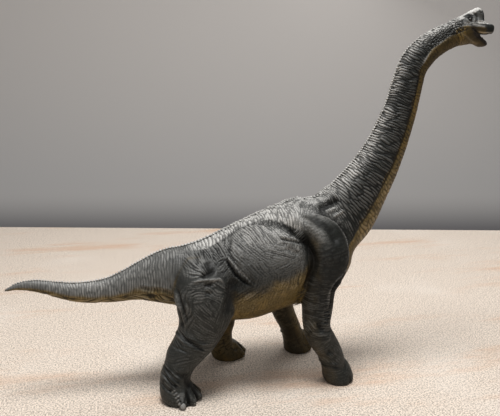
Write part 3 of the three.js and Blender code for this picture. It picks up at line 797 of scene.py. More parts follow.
TAIL_FOLDS = [
    [(-104, 87), (-94, 85), (-87.5, 84.6), (-80.6, 83.4), (-75, 80.5)],
    [(-106, 82.5), (-94, 80), (-86, 79.2), (-75, 77)],
    [(-100, 76.5), (-90, 75.5), (-80, 73.3), (-74, 72)],
]
TAIL_ARC = [(-80.5, 94), (-79.5, 90), (-78, 86), (-75.4, 81)]
# All folds of the flank: line, half width, depth and the lip beside it; a negative depth makes a ridge
FLANK_FOLDS = [
    (BARREL_CREASE, 3.4, 2.0),
    (BARREL_CREASE[3:], 2.2, 2.8),
    (BAND_EDGE, 2.0, 1.2, 0.4),
    (SHOULDER_HOLLOW, 3.6, 2.6),
    (SHOULDER_TOP, 5.0, -1.4),
    (NECK_POCKET, 2.6, 3.2),
    *((line, 1.3, -1.0) for line in NECK_BARS),
    *((line, width, depth, depth * 0.3) for line, width, depth in BARREL_SLITS),
    *((line, 1.4, -0.9) for line in BARREL_RIDGES),
    (FLANK_FOLD, 1.1, 2.0, 0.3),
    ([(x + 3.4, z + 2.0) for x, z in FLANK_FOLD], 0.8, 0.9),
    (FLANK_RIDGE, 0.9, -0.5),
    (HIP_LINE, 1.3, 1.2, 0.3),
    (GROIN, 4.0, 2.2),
    (HIP_SHELF, 1.0, -1.2),
    *HIP_PITS,
    *((line, 1.1, 0.8, 0.6) for line in TAIL_FOLDS),
    (TAIL_ARC, 1.3, 1.0, 0.3),
]
# Folds and ridges of the legs on the same view: line, half width and depth or height
HIND_FOLDS = [
    ([(-75, 92), (-73.4, 84.9), (-72, 78.4), (-69.8, 70.6), (-68, 64.4)], 1.5, 1.6),
    ([(-70.5, 88), (-69, 80), (-66.5, 71), (-64.5, 66)], 1.2, 0.9),
    ([(-74.6, 77), (-73, 68.7), (-71.3, 59)], 1.3, 1.4),
    ([(-73.5, 56), (-72, 53.5), (-70, 51.4), (-64.6, 48.6), (-59.3, 45.2), (-54, 44)], 1.3, 1.7),
    ([(-79.1, 45), (-74.7, 44.3), (-69, 42.6)], 0.9, 0.8),
    ([(-88, 31), (-84.5, 27), (-81, 23.5), (-78, 20.5), (-75, 19)], 0.9, 1.0),
    ([(-87.5, 25), (-85.7, 22.6), (-83.1, 20), (-80.4, 17.7), (-76.5, 16.2)], 0.9, 1.2),
    ([(-89, 17.5), (-87.9, 15.6), (-85, 13.5), (-80, 12.2)], 1.0, 1.1),
    ([(-79, 27), (-74.4, 23.9), (-70, 24.4)], 1.6, 1.0),
    ([(-71.5, 26), (-70.6, 20.5), (-69.2, 15.9), (-66.5, 12)], 2.6, 1.7),
    ([(-50, 62), (-45, 56), (-42, 50)], 1.2, 0.7),
]
FORE_FOLDS = [
    ([(59, 90), (55, 88), (50.2, 85.4), (47, 81.5), (46.9, 76), (46.6, 71), (45.6, 64)], 1.5, 1.7),
    ([(40.6, 59.2), (47, 57.8)], 0.8, 1.2),
    ([(40.2, 62.2), (47, 61)], 0.8, 1.1),
    ([(39.8, 65.2), (47, 64.4)], 0.8, 0.9),
    ([(37, 56.6), (46, 55)], 0.8, 1.2),
    ([(35.6, 57), (36.6, 53.8), (38.4, 50.8), (41, 48.4)], 2.0, 2.0),
    ([(25, 54.4), (28.6, 53), (32, 49.8)], 0.8, 1.1),
    ([(25, 52.2), (28.4, 50.4), (31.4, 46.4)], 0.8, 1.1),
    ([(25.5, 50), (28, 47.6), (30, 44)], 0.8, 0.9),
    ([(44.6, 32.6), (45.4, 30.2), (47.6, 29)], 1.3, 1.1),
    ([(39, 17.8), (44.5, 16.8), (49, 17), (55, 16.2)], 1.0, 0.9),
    ([(27.4, 95), (26.4, 85.6), (25.8, 75.6), (25.2, 66.3), (25.2, 56.5)], 1.8, 0.9),
]
TOE_RINGS = [(-81, 13), (-79.6, 11), (-78.3, 9), (-77.2, 7), (-76.2, 5)]
HIND_RIDGES = [
    ([(-77.2, 90), (-75.6, 84), (-74.2, 78), (-72, 70)], 1.0, 0.9),
    ([(-72.2, 89), (-71, 82), (-68.8, 74)], 1.0, 0.7),
    ([(-80, 58), (-77, 54), (-74, 51.4), (-69, 48.4)], 1.0, 0.8),
    ([(-84, 24.6), (-81, 21.6), (-77.5, 18.6)], 0.9, 0.7),
    ([(-62, 47), (-52, 47.5), (-46, 50)], 2.4, 0.8),
]
FORE_RIDGES = [
    ([(59.1, 96.7), (52.4, 92.2), (48, 87.6), (44.2, 83), (43.6, 77.6), (43.4, 71.6), (41.2, 66)], 1.3, 1.3),
    ([(33, 95), (31.5, 84), (31, 72), (31.5, 62)], 3.0, 0.8),
    ([(36, 46), (40, 43.5), (46, 40)], 3.4, 0.9),
    ([(44, 35.5), (49, 33), (50.5, 28.5), (47.5, 26), (43.5, 28), (42.5, 32.5), (44, 35.5)], 0.9, 0.5),
    ([(39, 19.6), (44.5, 18.6), (49, 18.8), (55, 18)], 0.9, 0.8),
]
LEG_FOLDS = {"hind": (HIND_FOLDS, HIND_RIDGES), "fore": (FORE_FOLDS, FORE_RIDGES)}
# Patches of wrinkles on the flank: centre x, z, reach along x, z, direction in degrees, spacing, depth
BODY_PATCHES = [
    (-12, 125, 15, 7, -56, 2.2, 1.1),
    (6, 127, 9, 6, -50, 2.0, 0.6),
    (-26, 113, 8, 9, -50, 2.4, 1.0),
    (-12, 112, 11, 7, -38, 2.2, 0.9),
    (4, 112, 12, 6, -14, 2.0, 0.8),
    (10, 104, 12, 6, 18, 2.0, 0.8),
    (-10, 100, 13, 6, -48, 2.6, 0.7),
    (-4, 92, 14, 6, 70, 2.8, 0.5),
    (16, 94, 7, 11, 78, 2.6, 0.7),
    (27, 100, 5, 14, 84, 2.4, 0.8),
    (27, 140, 11, 4.5, 55, 2.0, 0.8),
    (42, 126, 9, 9, 20, 2.0, 0.8),
    (38, 130, 7, 5, -44, 1.7, 0.8),
    (52, 108, 9, 12, 2, 2.2, 1.0),
    (46, 92, 9, 9, 12, 2.2, 0.9),
    (-48, 112, 14, 9, -55, 2.0, 1.5),
    (-38, 104, 6, 8, 38, 2.2, 1.2),
    (-72, 106, 6, 9, 4, 2.3, 0.9),
    (-20, 82, 14, 7, 35, 3.0, 0.6),
    (5, 80, 16, 5, 84, 3.4, 0.5),
]
LEG_PATCHES = [
    (-75, 52, 7, 7, -52, 2.3, 1.0),
    (-60, 48, 13, 8, -14, 2.6, 0.8),
    (-68, 75, 5, 18, 76, 3.0, 0.7),
    (-60, 88, 9, 8, 4, 2.3, 1.0),
    (-46, 86, 9, 8, -32, 2.3, 0.9),
    (-54, 73, 9, 10, -48, 2.2, 0.85),
    (-56, 60, 12, 8, -34, 2.4, 0.7),
    (-43, 62, 6, 14, 66, 2.6, 0.6),
    (-38, 76, 6, 12, 74, 2.8, 0.6),
    (-82, 21, 7, 10, -38, 2.4, 1.0),
    (-70, 25, 7, 10, 70, 2.6, 0.5),
    (-73, 36, 11, 7, 12, 2.6, 0.6),
    (-78, 8, 9, 6, -22, 2.4, 0.5),
    (-64, 8, 8, 7, 60, 2.4, 0.5),
    (30, 76, 8, 16, -3, 2.1, 1.0),
    (41, 76, 7, 16, 4, 2.1, 1.0),
    (43, 61, 6, 6, 5, 2.3, 1.1),
    (28, 52, 6, 7, -48, 2.2, 1.0),
    (40, 46, 9, 7, -8, 2.4, 0.9),
    (38, 34, 8, 7, 42, 2.4, 0.6),
    (48, 27, 9, 8, -42, 2.2, 0.6),
    (46, 9, 13, 9, 10, 2.2, 0.3),
]
# Swellings of the flank: outline, height and softness
FLANK_PILLOWS = [
    (
        [
            (-20, 131), (-12, 132.5), (-5, 133.5), (2, 134), (9, 133), (16, 130), (22, 125.5), (27, 120),
            (30, 114), (31.6, 107), (31, 99), (28, 91), (23, 82), (10, 77), (-5, 78), (-18, 86), (-24, 93),
            (-30, 99), (-35, 107), (-34, 114), (-32, 120), (-27, 127),
        ],
        2.6, 5.0,
    ),
    (
        [
            (15, 144.5), (28, 143), (39, 140), (48, 136), (55, 131), (59.5, 123), (61.6, 113), (61, 104),
            (57, 97), (50, 91.5), (45, 86), (43, 79), (37, 84), (34.5, 96), (35.6, 107), (33.6, 116),
            (29, 124), (22, 131), (14, 136.5),
        ],
        2.4, 4.0,
    ),
]
# Painted highlights and painted shade along the flank's forms: line, half width and strength, highlight and
# shade
HIGHLIGHT_STROKES = [
    (SHOULDER_TOP[:6], 4.0, 0.3),
    (SHOULDER_RIM, 0.8, 0.25),
    (SHOULDER_RIM[:5], 2.4, 0.25),
    (FLANK_RIDGE, 0.8, 0.2),
    (HIP_SHELF, 0.8, 0.32),
    (NECK_BARS[0], 1.2, 0.5),
    (NECK_BARS[1], 1.1, 0.42),
    ([(-19, 126), (-8, 130), (0, 131)], 4.0, 0.12),
    (FORE_RIDGES[0][0][:6], 0.9, 0.3),
    (HIND_RIDGES[0][0], 0.8, 0.25),
]
SHADE_STROKES = [
    (BARREL_CREASE[2:], 2.8, 0.95),
    (BARREL_CREASE[5:12], 4.4, 0.8),
    (SHOULDER_HOLLOW, 3.2, 0.7),
    ([(53, 132), (56.5, 125), (58, 117), (58, 108), (55, 100), (49, 94)], 3.0, 0.5),
    (NECK_POCKET, 3.4, 1.0),
    (NECK_POCKET[1:4], 3.6, 1.0),
    (FLANK_FOLD, 0.8, 1.0),
    (GROIN, 4.5, 0.6),
    (HIP_LINE, 1.2, 0.6),
    ([(-56, 99.6), (-51, 101), (-45, 102)], 1.8, 1.0),
    ([(-53, 109), (-50, 104), (-45.5, 102.5)], 3.8, 0.65),
    ([(-43, 107), (-46, 102)], 2.6, 0.5),
    ([(-51, 82.5), (-48, 80)], 1.6, 0.7),
    ([(-34, 86), (-30.5, 80), (-31, 74)], 3.6, 0.75),
    ([(-75, 109), (-74.5, 101), (-71, 92)], 4.0, 0.4),
    ([(-22, 116), (-20, 107), (-17, 98)], 3.2, 0.3),
    (BAND_EDGE[1:], 1.4, 0.5),
    ([(-54.5, 93.6), (-48.6, 93.4)], 1.2, 1.0),
    ([(-54, 88.4), (-50, 87.4)], 1.1, 0.7),
    ([(34, 100), (34.5, 90), (31, 80)], 4.0, 0.7),
    ([(48, 128), (52, 118), (52, 108), (47, 98), (40, 89), (36, 78)], 8.0, 0.5),
    (HIND_FOLDS[0][0], 1.0, 0.6),
    (HIND_FOLDS[2][0], 1.1, 0.6),
]


for ring_x, ring_z in TOE_RINGS:
    ring = [(ring_x - 1.7, ring_z - 1.0), (ring_x + 1.7, ring_z + 1.0)]
    HIND_RIDGES.append((ring, 0.6, 0.9))
    HIGHLIGHT_STROKES.append((ring, 0.6, 0.4))


LEGS = {
    f"{pair}_leg_{side}": (pair, side, leg_stations(pair, side))
    for pair in ("hind", "fore")
    for side in ("left", "right")
}


def toe_meshes(pair, side, stations):
    """Closed skins of the toes of a foot."""
    foot = stations[-1]
    angles = TOE_ANGLES[f"{pair}_{side}"]
    rows = smooth_rows(TOE_ROWS[pair], np.linspace(0, len(TOE_ROWS[pair]) - 1, TOE_SIDES))
    around = circle(TOE_SIDES)
    meshes = []
    for index, degrees in enumerate(angles):
        reach, level, height, width = (
            rows * (BIG_TOE_SHARE if pair == "hind" and index == len(angles) - 1 else 1.0)
        ).T[:, :, None]
        turn = math.radians(degrees) * SIGNS[side]
        across = width * np.sin(around)
        x = foot[0] + reach * math.cos(turn) - across * math.sin(turn)
        y = foot[1] + reach * math.sin(turn) + across * math.cos(turn)
        meshes.append(closed_tube(np.stack([x, y, level + height * np.cos(around)], axis=-1)))
    return meshes


def body_field():
    """The joined skin of spine, legs and toes, with the distances to each part."""
    field = Field(SHELL_LOW, SHELL_SHAPE, VOXEL)
    parts = {"spine": field.add(*body_tube(smooth_rows(SPINE, np.arange(0, HEAD_SEAM + 1.01, RING_STEP))))}
    for name, (pair, side, stations) in LEGS.items():
        tube = leg_tube(stations)
        low, slices = field.reached(tube[0], LEG_REACH, LEG_REACH)
        leg = Field(low, field.values[slices].shape, VOXEL)
        leg.add(*tube)
        for toe in toe_meshes(pair, side, stations):
            leg.add(*toe, TOE_BLEND)
        field.join(leg.values, slices, LEG_BLEND)
        parts[name] = leg
    heights = (np.arange(field.values.shape[2]) + field.low[2]) * VOXEL
    field.values = np.maximum(field.values, -heights.astype(np.float32))
    return field, parts


def corner_sums(values, corners, count):
    """Adds up values, one for each row of corners, at each point."""
    spread = np.repeat(values, corners.shape[1], axis=0)
    flat = corners.ravel()
    return np.stack([np.bincount(flat, spread[:, axis], count) for axis in range(values.shape[1])], axis=1)


def quad_edges(quads):
    """The edges of quads as pairs of points, all first edges, then all second ones and so on."""
    return np.concatenate([quads[:, (index, (index + 1) % 4)] for index in range(4)])


def softened(points, quads, rounds):
    """Points moved half way towards their neighbours, some rounds in a row."""
    edges = quad_edges(quads)
    valence = np.bincount(edges[:, 0], minlength=len(points)).clip(1)[:, None]
    for _ in range(rounds):
        total = corner_sums(points[edges[:, 1]], edges[:, :1], len(points))
        points = points * 0.5 + total / valence * 0.5
    return points


def divided(points, quads):
    """One round of Catmull-Clark subdivision of a closed mesh of quads."""
    count = len(points)
    starts, ends = quads.ravel(), np.roll(quads, -1, axis=1).ravel()
    keys = np.minimum(starts, ends).astype(np.int64) * count + np.maximum(starts, ends)
    unique, edge_of = np.unique(keys, return_inverse=True)
    edge_of = edge_of.reshape(-1, 4)
    edges = np.stack([unique // count, unique % count], axis=1)
    middles = points[quads].mean(axis=1)
    beside = corner_sums(middles, edge_of, len(edges)) / np.bincount(edge_of.ravel())[:, None]
    halves = points[edges].mean(axis=1)
    valence = np.bincount(edges.ravel(), minlength=count)[:, None]
    around = corner_sums(middles, quads, count) / np.bincount(quads.ravel(), minlength=count)[:, None]
    spokes = corner_sums(halves, edges, count) / valence
    moved = (around + 2 * spokes + (valence - 3) * points) / valence
    edge_base, face_base = count, count + len(edges)
    faces = face_base + np.arange(len(quads))
    ahead, behind = edge_base + edge_of, edge_base + np.roll(edge_of, 1, axis=1)
    parts = [np.stack([quads[:, k], ahead[:, k], faces, behind[:, k]], -1) for k in range(4)]
    return np.vstack([moved, (halves + beside) / 2, middles]), np.vstack(parts)


def unit_normals(points, quads):
    """The unit normal at each point."""
    first = points[quads[:, 2]] - points[quads[:, 0]]
    second = points[quads[:, 3]] - points[quads[:, 1]]
    total = corner_sums(np.cross(first, second), quads, len(points))
    return total / np.linalg.norm(total, axis=1, keepdims=True).clip(1e-9)


def plain_mesh(name, points, quads, triangles):
    """A mesh of quads and triangles from arrays, in metres."""
    mesh = bpy.data.meshes.new(name)
    triangles = np.asarray(triangles, np.int32).reshape(-1, 3)
    quads = np.asarray(quads, np.int32)
    corners = np.concatenate([quads.ravel(), triangles.ravel()])
    starts = np.concatenate([np.arange(len(quads)) * 4, quads.size + np.arange(len(triangles)) * 3])
    mesh.vertices.add(len(points))
    mesh.vertices.foreach_set("co", np.asarray(points, np.float32).ravel())
    mesh.loops.add(len(corners))
    mesh.loops.foreach_set("vertex_index", corners)
    mesh.polygons.add(len(starts))
    mesh.polygons.foreach_set("loop_start", starts.astype(np.int32))
    mesh.update(calc_edges=True)
    return mesh


def outward(points, quads):
    """The quads of a closed mesh in the order that makes their faces point out."""
    corner = [points[quads[:, index]] for index in range(4)]
    normal = np.cross(corner[2] - corner[0], corner[3] - corner[1])
    return quads if (normal * sum(corner)).sum() > 0 else quads[:, ::-1]


# Relief of the skin


def stride(heights, pair):
    """How far the right leg of a pair stands ahead of the left one."""
    right, left = (LEGS[f"{pair}_leg_{side}"][2][::-1] for side in ("right", "left"))
    return np.interp(heights, right[:, 2], right[:, 0] - left[:, 0])


def side_view(points):
    """Places on the flank, with the left flank slid to match the right one's stride."""
    x, z = points[:, 0] - FLANK_ORIGIN, points[:, 2]
    for pair, low, high in STRIDE_REACH:
        x += np.where(points[:, 1] > 0, stride(z, pair) * ease(low, high, points[:, 0]), 0)
    return x, z


def flank_relief(points, x, z):
    """The large folds of shoulder, barrel, flank and hip."""
    relief = folded(x, z, FLANK_FOLDS)
    for outline, height, softness in FLANK_PILLOWS:
        relief += height * region_pillow(x, z, outline, softness)
    gap, along, side = near_line(x, z, SHOULDER_RIM)
    inside = side < 0
    rim = inside * 1.5 * bell(gap, 6) + 0.9 * bell(gap, 0.8) - ~inside * 1.8 * bell(gap - 2.6, 2.4)
    relief += rim * ease(0.05, 0.3, along) * ease(0, 0.12, 1 - along)
    return relief * ease(6, 13, np.abs(points[:, 1]))


def outline_shift(at):
    """Bumps and dips of the outline that the paint doesn't follow, over the withers and at the chest."""
    crown = bell(at.angle, 0.4) * ease(TAIL_SEAM + 1, TAIL_SEAM + 2, at.place)
    crown = crown * ease(HEAD_SEAM - 3, HEAD_SEAM - 4, at.place)
    chest = bell(np.hypot(at.x - CHEST[0], at.z - CHEST[1]), 8.5)
    return crown * np.interp(at.x, *zip(*WITHERS)) - 4.6 * chest


def neck_border(at):
    """The raised line between hide and throat near the head, along and across it."""
    near_head = ease(HEAD_SEAM - 4.5, HEAD_SEAM - 3, at.place)
    near_head *= ease(HEAD_SEAM + 0.2, HEAD_SEAM - 1, at.place)
    return near_head, (at.angle - at.edge) * at.radius


def neck_relief(at):
    """Rings of the neck that narrow towards the head, scales of its nape and folds of its throat."""
    start = np.interp(NECK_SEAM, *spine_tree()[:2])
    narrowing = (HEAD_RING - ROOT_RING) / NECK_RUN
    turns = np.log(np.maximum(1 + narrowing * (at.course - start) / ROOT_RING, 0.2)) / narrowing
    rings = 0.55 * wave(turns, 1.0) + 0.45 * plates(turns, at.spread / 13, 11, 0.5)
    nape = ease(HEAD_SEAM - 3.2, HEAD_SEAM - 1.4, at.place) * ease(0.35, 0.7, at.angle)
    rings = rings * (1 - nape) + nape * plates(at.length / 2.1, at.spread / 2.1, 15, 0.45)
    throat = 0.4 * wave(at.course, 2.8) + 0.6 * plates(at.course / 2.6, at.low_spread / 6, 21, 0.4)
    crown = 1 + 0.8 * bell(at.angle, 0.45)
    relief = at.upper * 1.35 * crown * (rings - SKIN_LEVEL) + (1 - at.upper) * 0.4 * (throat - SKIN_LEVEL)
    near_head, off_border = neck_border(at)
    return relief + (0.9 * near_head - 0.5) * bell(off_border, 0.8)


def tail_relief(at):
    """Hoops of the tail and long folds under it."""
    hoops = 0.65 * wave(at.course, 2.0) + 0.35 * plates(at.course / 2.0, at.spread / 9, 31, 0.5)
    folds = plates(at.length / 18, at.low_spread / 2.3, 41, 0.45)
    lower = ease(1.8, 2.2, at.angle)
    relief = (1 - lower) * 0.4 * (hoops - SKIN_LEVEL) + lower * 0.55 * (folds - SKIN_LEVEL)
    return relief * (ease(0, 3.5, at.place) * 0.6 + 0.4)


def torso_relief(at, band, withers, brow):
    """Wrinkles and scales of the torso, with ribs in the band along its back."""
    ribs = 0.5 * wave(at.course - at.wander * 0.4, 2.5)
    ribs += 0.5 * plates(at.course / 2.3, at.spread / 12, 51, 0.45)
    lean = at.course + at.around * 0.12
    ridges = 0.4 * wave(lean, 2.6) + 0.6 * plates(lean / 2.3, at.spread / 7, 61, 0.45)
    net = plates(at.length / 2.6 + at.wander * 0.3, at.spread / 3.8, 71, 0.4)
    pebbles = plates(at.length / 2.0 + at.wander * 0.3, at.spread / 2.0, 76, 0.4)
    strayed_x, strayed_z = at.x + 0.5 * at.wander, at.z + 0.5 * wandering(at.points, 9)
    base = 0.6 * (0.6 * ridges + 0.4 * net - SKIN_LEVEL)
    barrel = 1.05 * patched(strayed_x, strayed_z, BODY_PATCHES, 61, base) + 0.25 * (pebbles - SKIN_LEVEL)
    under = ease(at.edge - 0.05, at.edge + 0.3, at.angle)
    relief = (1 - band) * (1 - withers) * (1 - 0.6 * under) * barrel
    relief += band * (1 - 0.5 * withers) * 1.2 * (ribs - 0.55)
    relief *= 1 - (0.45 - 0.4 * brow) * ease(30, 38, at.x) * ease(146, 136, at.z)
    lumps = ripple(at.length / 5.0, at.spread / 4.2, 77) + 0.6 * ripple(at.length / 2.6, at.spread / 2.6, 78)
    return relief + withers * (0.5 * (pebbles - 0.55) + 0.3 * lumps)


def worn_and_highlight_share(at, band, withers, brow, hip):
    """How much pale paint is brushed over the wrinkles, with painted highlight on the upper surfaces."""
    fade = np.interp(at.place - NECK_SEAM, [0, 4, 7, 10, 12], [1.3, 1.2, 0.74, 0.78, 0.95])
    worn = at.neck * (1.0 - 0.86 * ease(0.3, 1.1, at.angle)) * at.upper * fade
    below = at.neck * 0.6 * ease(NECK_SEAM + 6, NECK_SEAM + 3, at.place) + at.tail * 0.45
    worn += (below + at.torso * 0.35 * bell(at.angle - at.edge - 0.2, 0.3)) * (1 - at.upper)
    near_head, off_border = neck_border(at)
    worn += at.neck * near_head * 0.5 * bell(off_border, 0.9)
    worn += at.tail * (1.0 - 0.4 * ease(5, 10, at.place)) * (1 - 0.4 * ease(0.4, 1.4, at.angle)) * at.upper
    hooded = ease(20, 34, at.x) * ease(140, 122, at.z)
    # Paler higher up the flank and on the shoulder's top: painted highlight where light from above falls
    side = (0.05 + 0.62 * ease(106, 130, at.z)) * at.upper * (1 - 0.9 * hooded) * (1 - 0.35 * hip)
    side = side * (1 - 0.3 * ease(-33, -41, at.x)) + 0.42 * brow
    return worn + at.torso * most(band * 1.35, withers * (0.92 - 0.6 * hooded), side)


def fine_relief(at):
    """The fine wrinkles, rings and scales, where the hip's fan lies, and how much pale paint and painted
    highlight lies on them.
    """
    border = np.interp(at.x, *zip(*BAND_BORDER))
    banded = ease(-0.9, 0.9, at.z - border) * ease(-64, -50, at.x) * ease(30, 22, at.x)
    band = (1 - ease(9, 13, at.around)) * ease(TAIL_SEAM - 1.0, TAIL_SEAM + 1.5, at.place)
    band = np.maximum(band * ease(30, 20, at.x), banded)
    withers = ease(NECK_SEAM - 4.2, NECK_SEAM - 3.0, at.place) * (1 - ease(15, 23, at.around))
    brow = bell(near_line(at.x, at.z, SHOULDER_TOP[:6])[0], 5.0)
    hip, rays = hip_rays(at)
    torso = torso_relief(at, band, withers, brow) * (1 - hip) + hip * 1.4 * (rays - SKIN_LEVEL)
    relief = at.neck * neck_relief(at) + at.tail * tail_relief(at) + at.torso * torso
    return relief, hip, worn_and_highlight_share(at, band, withers, brow, hip)


def olive_edge(place):
    """The angle from the back at which the olive underside starts."""
    return np.interp(
        place,
        [0, TAIL_SEAM, NECK_SEAM - 3, NECK_SEAM, HEAD_SEAM - 6, HEAD_SEAM - 3, HEAD_SEAM],
        [1.75, 1.82, 1.7, 1.85, 1.88, 1.72, 1.5],
    )


def hip_rays(at):
    """Where wrinkles fan out from the hip's pit, and those wrinkles."""
    x, z = at.x - HIP_PIT[0], at.z - HIP_PIT[1]
    reach, turn = np.hypot(x, z), np.arctan2(z, x)
    near, far = 1 - ease(7, 10, reach), ease(14, 18, reach)
    rays = np.zeros(len(x))
    for weight, count, seed in ((near, 3.6, 81), (1 - near - far, 6.6, 83), (far, 10.0, 85)):
        strayed = turn * count + at.wander * 0.2 + 20
        rays += weight * (0.5 * wave(strayed, 1.0) + 0.5 * threads(strayed * 1.7, reach / 8, seed, 0.55))
    upper_left = ease(0.3, -0.5, np.cos(turn)) * ease(-0.35, 0.1, np.sin(turn))
    hip = ease(2, 4, reach) * (1 - ease(15, 24, reach + 2 * at.wander)) * upper_left
    return hip * ease(8, 16, np.abs(at.points[:, 1])), rays


def leg_relief(points, pair, side, slant, angle, radius):
    """The fine wrinkles and the folds of a leg."""
    hind = pair == "hind"
    wander = wandering(points, 5)
    spread = np.abs(angle) * radius + wander
    level = (slant + wander) / 2.4
    wrinkles = 0.25 * wave(level, 1.0) + 0.75 * threads(level * 1.6, spread / 5, 91)
    pebbles = plates(slant / 1.9, spread / 1.9, 101, 0.4)
    base = (0.6 if hind else 0.5) * (0.55 + 0.45 * cloud(points, 9.0, 92)) * (wrinkles - SKIN_LEVEL)
    x, z = points[:, 0] - FLANK_ORIGIN, points[:, 2]
    if side == "left":
        x = x + stride(z, pair)
    outer = ease(-0.45, 0.1, np.sin(angle))
    fine = patched(x + 0.4 * wander, z + 0.4 * wandering(points, 9), LEG_PATCHES, 131, base)
    fine = base * (1 - outer) + (0.5 if hind else 0.7) * fine * outer
    low = 1 - ease(4, 9, z)
    fine = (1 - low) * fine + (0.08 + 0.12 * low) * (pebbles - SKIN_LEVEL)
    folds, ridges = LEG_FOLDS[pair]
    large = folded(x, z, [(line, width, depth, depth * 0.3) for line, width, depth in folds])
    return fine, (large - folded(x, z, ridges)) * outer


def leg_paint(pair, height, across, angle):
    """Olive, pale, dark and shade shares of a leg's paint: pale paint and painted highlight higher up, darker
    paint and painted shade lower down, painted shade on the inner side and round the upper arm.
    """
    inner = ease(0.4, -0.7, np.sin(angle))
    olive, raised = 0.1 + inner * 0.84, ease(40, 90, height)
    if pair == "hind":
        return olive, 0.16 + 0.12 * raised, 0.8 * ease(116, 90, height), 0.5 * inner
    shade = inner * (0.95 - 0.45 * ease(0.0, 0.5, across))
    shade = np.maximum(shade, 0.66 * ease(46, 70, height) * ease(128, 104, height))
    olive = np.maximum(olive, 0.32 * ease(0.3, -0.6, across))
    return olive, 0.16 - 0.06 * raised, ease(116, 90, height), shade


def toe_rings(points, pair, side, stations):
    """Rings round the toes of a foot and clefts between them."""
    hind = pair == "hind"
    height = points[:, 2]
    offset = points[:, :2] - stations[-1][:2]
    reach = np.linalg.norm(offset, axis=1)
    turn = np.degrees(np.arctan2(offset[:, 1] * SIGNS[side], offset[:, 0]))
    angles = TOE_ANGLES[f"{pair}_{side}"]
    relief = np.zeros(len(points))
    for index, degrees in enumerate(angles):
        if hind:
            strength = 1.1 if index == len(angles) - 1 else 0.5
            on_toe = bell(np.radians(turn - degrees) * reach, 2.6)
            relief += on_toe * strength * (wave(reach * 0.8 + height * 0.8, 2.2) - SKIN_LEVEL)
        if index:
            between = (degrees + angles[index - 1]) / 2
            relief -= (2.6 if hind else 0.5) * bell(np.radians(turn - between) * reach, 1.0)
    low = 1 - (ease(9, 13, height) if hind else ease(5, 8, height))
    return relief * low * ease(4, 9, reach)


def region_pillow(x, z, outline, softness):
    """How far inside a closed outline a point lies, from 0 at its edge towards 1."""
    gap, _, _ = near_line(x, z, outline + outline[:1])
    inside = np.zeros(x.shape, bool)
    for (x1, z1), (x2, z2) in zip(outline, outline[1:] + outline[:1]):
        crosses = (z1 > z) != (z2 > z)
        if z1 != z2:
            inside ^= crosses & (x < (x2 - x1) * (z - z1) / (z2 - z1) + x1)
    return np.where(inside, 1 - np.exp(-gap / softness), 0)


@lru_cache(maxsize=1)
def body_skin():
    """The whole body's skin, displaced, with its paint and the piece of each face."""
    field, parts = body_field()
    points, normals, quads = field.skin(1, 1)
    at = SkinPlaces(points)
    bent_x, bent_z = at.x + 0.35 * wandering(points, 31), at.z + 0.35 * wandering(points, 33)
    fine, hip, worn = fine_relief(at)
    large = flank_relief(points, bent_x, bent_z)
    # Painted highlight and painted shade along the flank's forms, on surfaces that face the sides
    facing = ease(0.1, 0.45, np.abs(normals[:, 1]))
    painted_highlight, painted_shade = (one * facing for one in light_and_shade_strokes(points, bent_x, bent_z))
    soft = np.where(at.place > NECK_SEAM - 1, 0.07, 0.22 + 0.2 * ease(TAIL_SEAM + 1, TAIL_SEAM - 1, at.place))
    olive = ease(at.edge - soft, at.edge + soft, at.angle + 0.12 * cloud(points, 8.0, 8))
    dark = np.clip(flank_dark(at) + 0.3 * painted_shade, 0, 1)
    shaded = np.zeros(len(points))
    labels = np.zeros(len(points), int)
    nearest = spine_gap = parts["spine"].read(points)
    for number, (name, (pair, side, stations)) in enumerate(LEGS.items(), start=1):
        gap = parts[name].read(points)
        on_leg = ease(-3.5, 3.0, spine_gap - gap) * ease(6.5, 4.5, gap)
        rows = np.flatnonzero(on_leg > 0)
        share, sub = on_leg[rows], points[rows]
        across, slant, angle, radius = leg_places(sub, side, stations)
        leg_fine, leg_large = leg_relief(sub, pair, side, slant, angle, radius)
        leg_fine = leg_fine + toe_rings(sub, pair, side, stations)
        leg_olive, leg_worn_and_highlight, leg_dark, leg_shade = leg_paint(pair, sub[:, 2], across, angle)
        kept = hip[rows] * share
        fine[rows] = fine[rows] * (1 - share + kept) + leg_fine * (share - kept)
        large[rows] = large[rows] * (1 - share * ease(80, 60, sub[:, 2])) + leg_large * share
        olive[rows] = olive[rows] * (1 - share) + leg_olive * share
        worn[rows] = worn[rows] * (1 - share) + leg_worn_and_highlight * share
        dark[rows] = dark[rows] * (1 - share) + np.maximum(leg_dark, dark[rows]) * share
        shaded[rows] = np.maximum(shaded[rows], leg_shade * share)
        labels[gap < nearest - 0.2] = number
        nearest = np.minimum(nearest, gap)
    calm = 1 - 0.65 * bell(np.hypot((at.x - CALM[0]) / 1.2, at.z - CALM[1]), 7.0)
    fine, large = fine * calm, large * calm
    relief = (fine + large) * ease(0.2, 2.0, points[:, 2]) + outline_shift(at)
    relief -= np.where(at.place > HEAD_SEAM - 0.02, SEAM_OVERLAP, 0.0)
    shaped = points + normals * relief[:, None]
    shaped[:, 2] = np.where(points[:, 2] < 0.5, 0.0, np.maximum(shaped[:, 2], 0.02))
    shares = paint_shares(points, fine, large, worn * (1 - 0.8 * painted_shade), olive, dark)
    bare = (1 - shares["worn"]) * (1 - 0.6 * shares["wash"])
    shares["worn"] = np.clip(shares["worn"] + painted_highlight * (0.5 + ease(-0.1, 0.25, fine)) * bare, 0, 1)
    # Painted shade from the shade strokes, on the inner legs, round the upper arm and on the olive throat
    # under the head, laid over the wash
    throat = 0.64 * olive * ease(HEAD_SEAM - 6, HEAD_SEAM - 3, at.place)
    shares["wash"] = shares["wash"] + most(painted_shade, shaded, throat) * (1 - shares["wash"])
    return shaped, quads, body_owners(at, quads, labels), shares


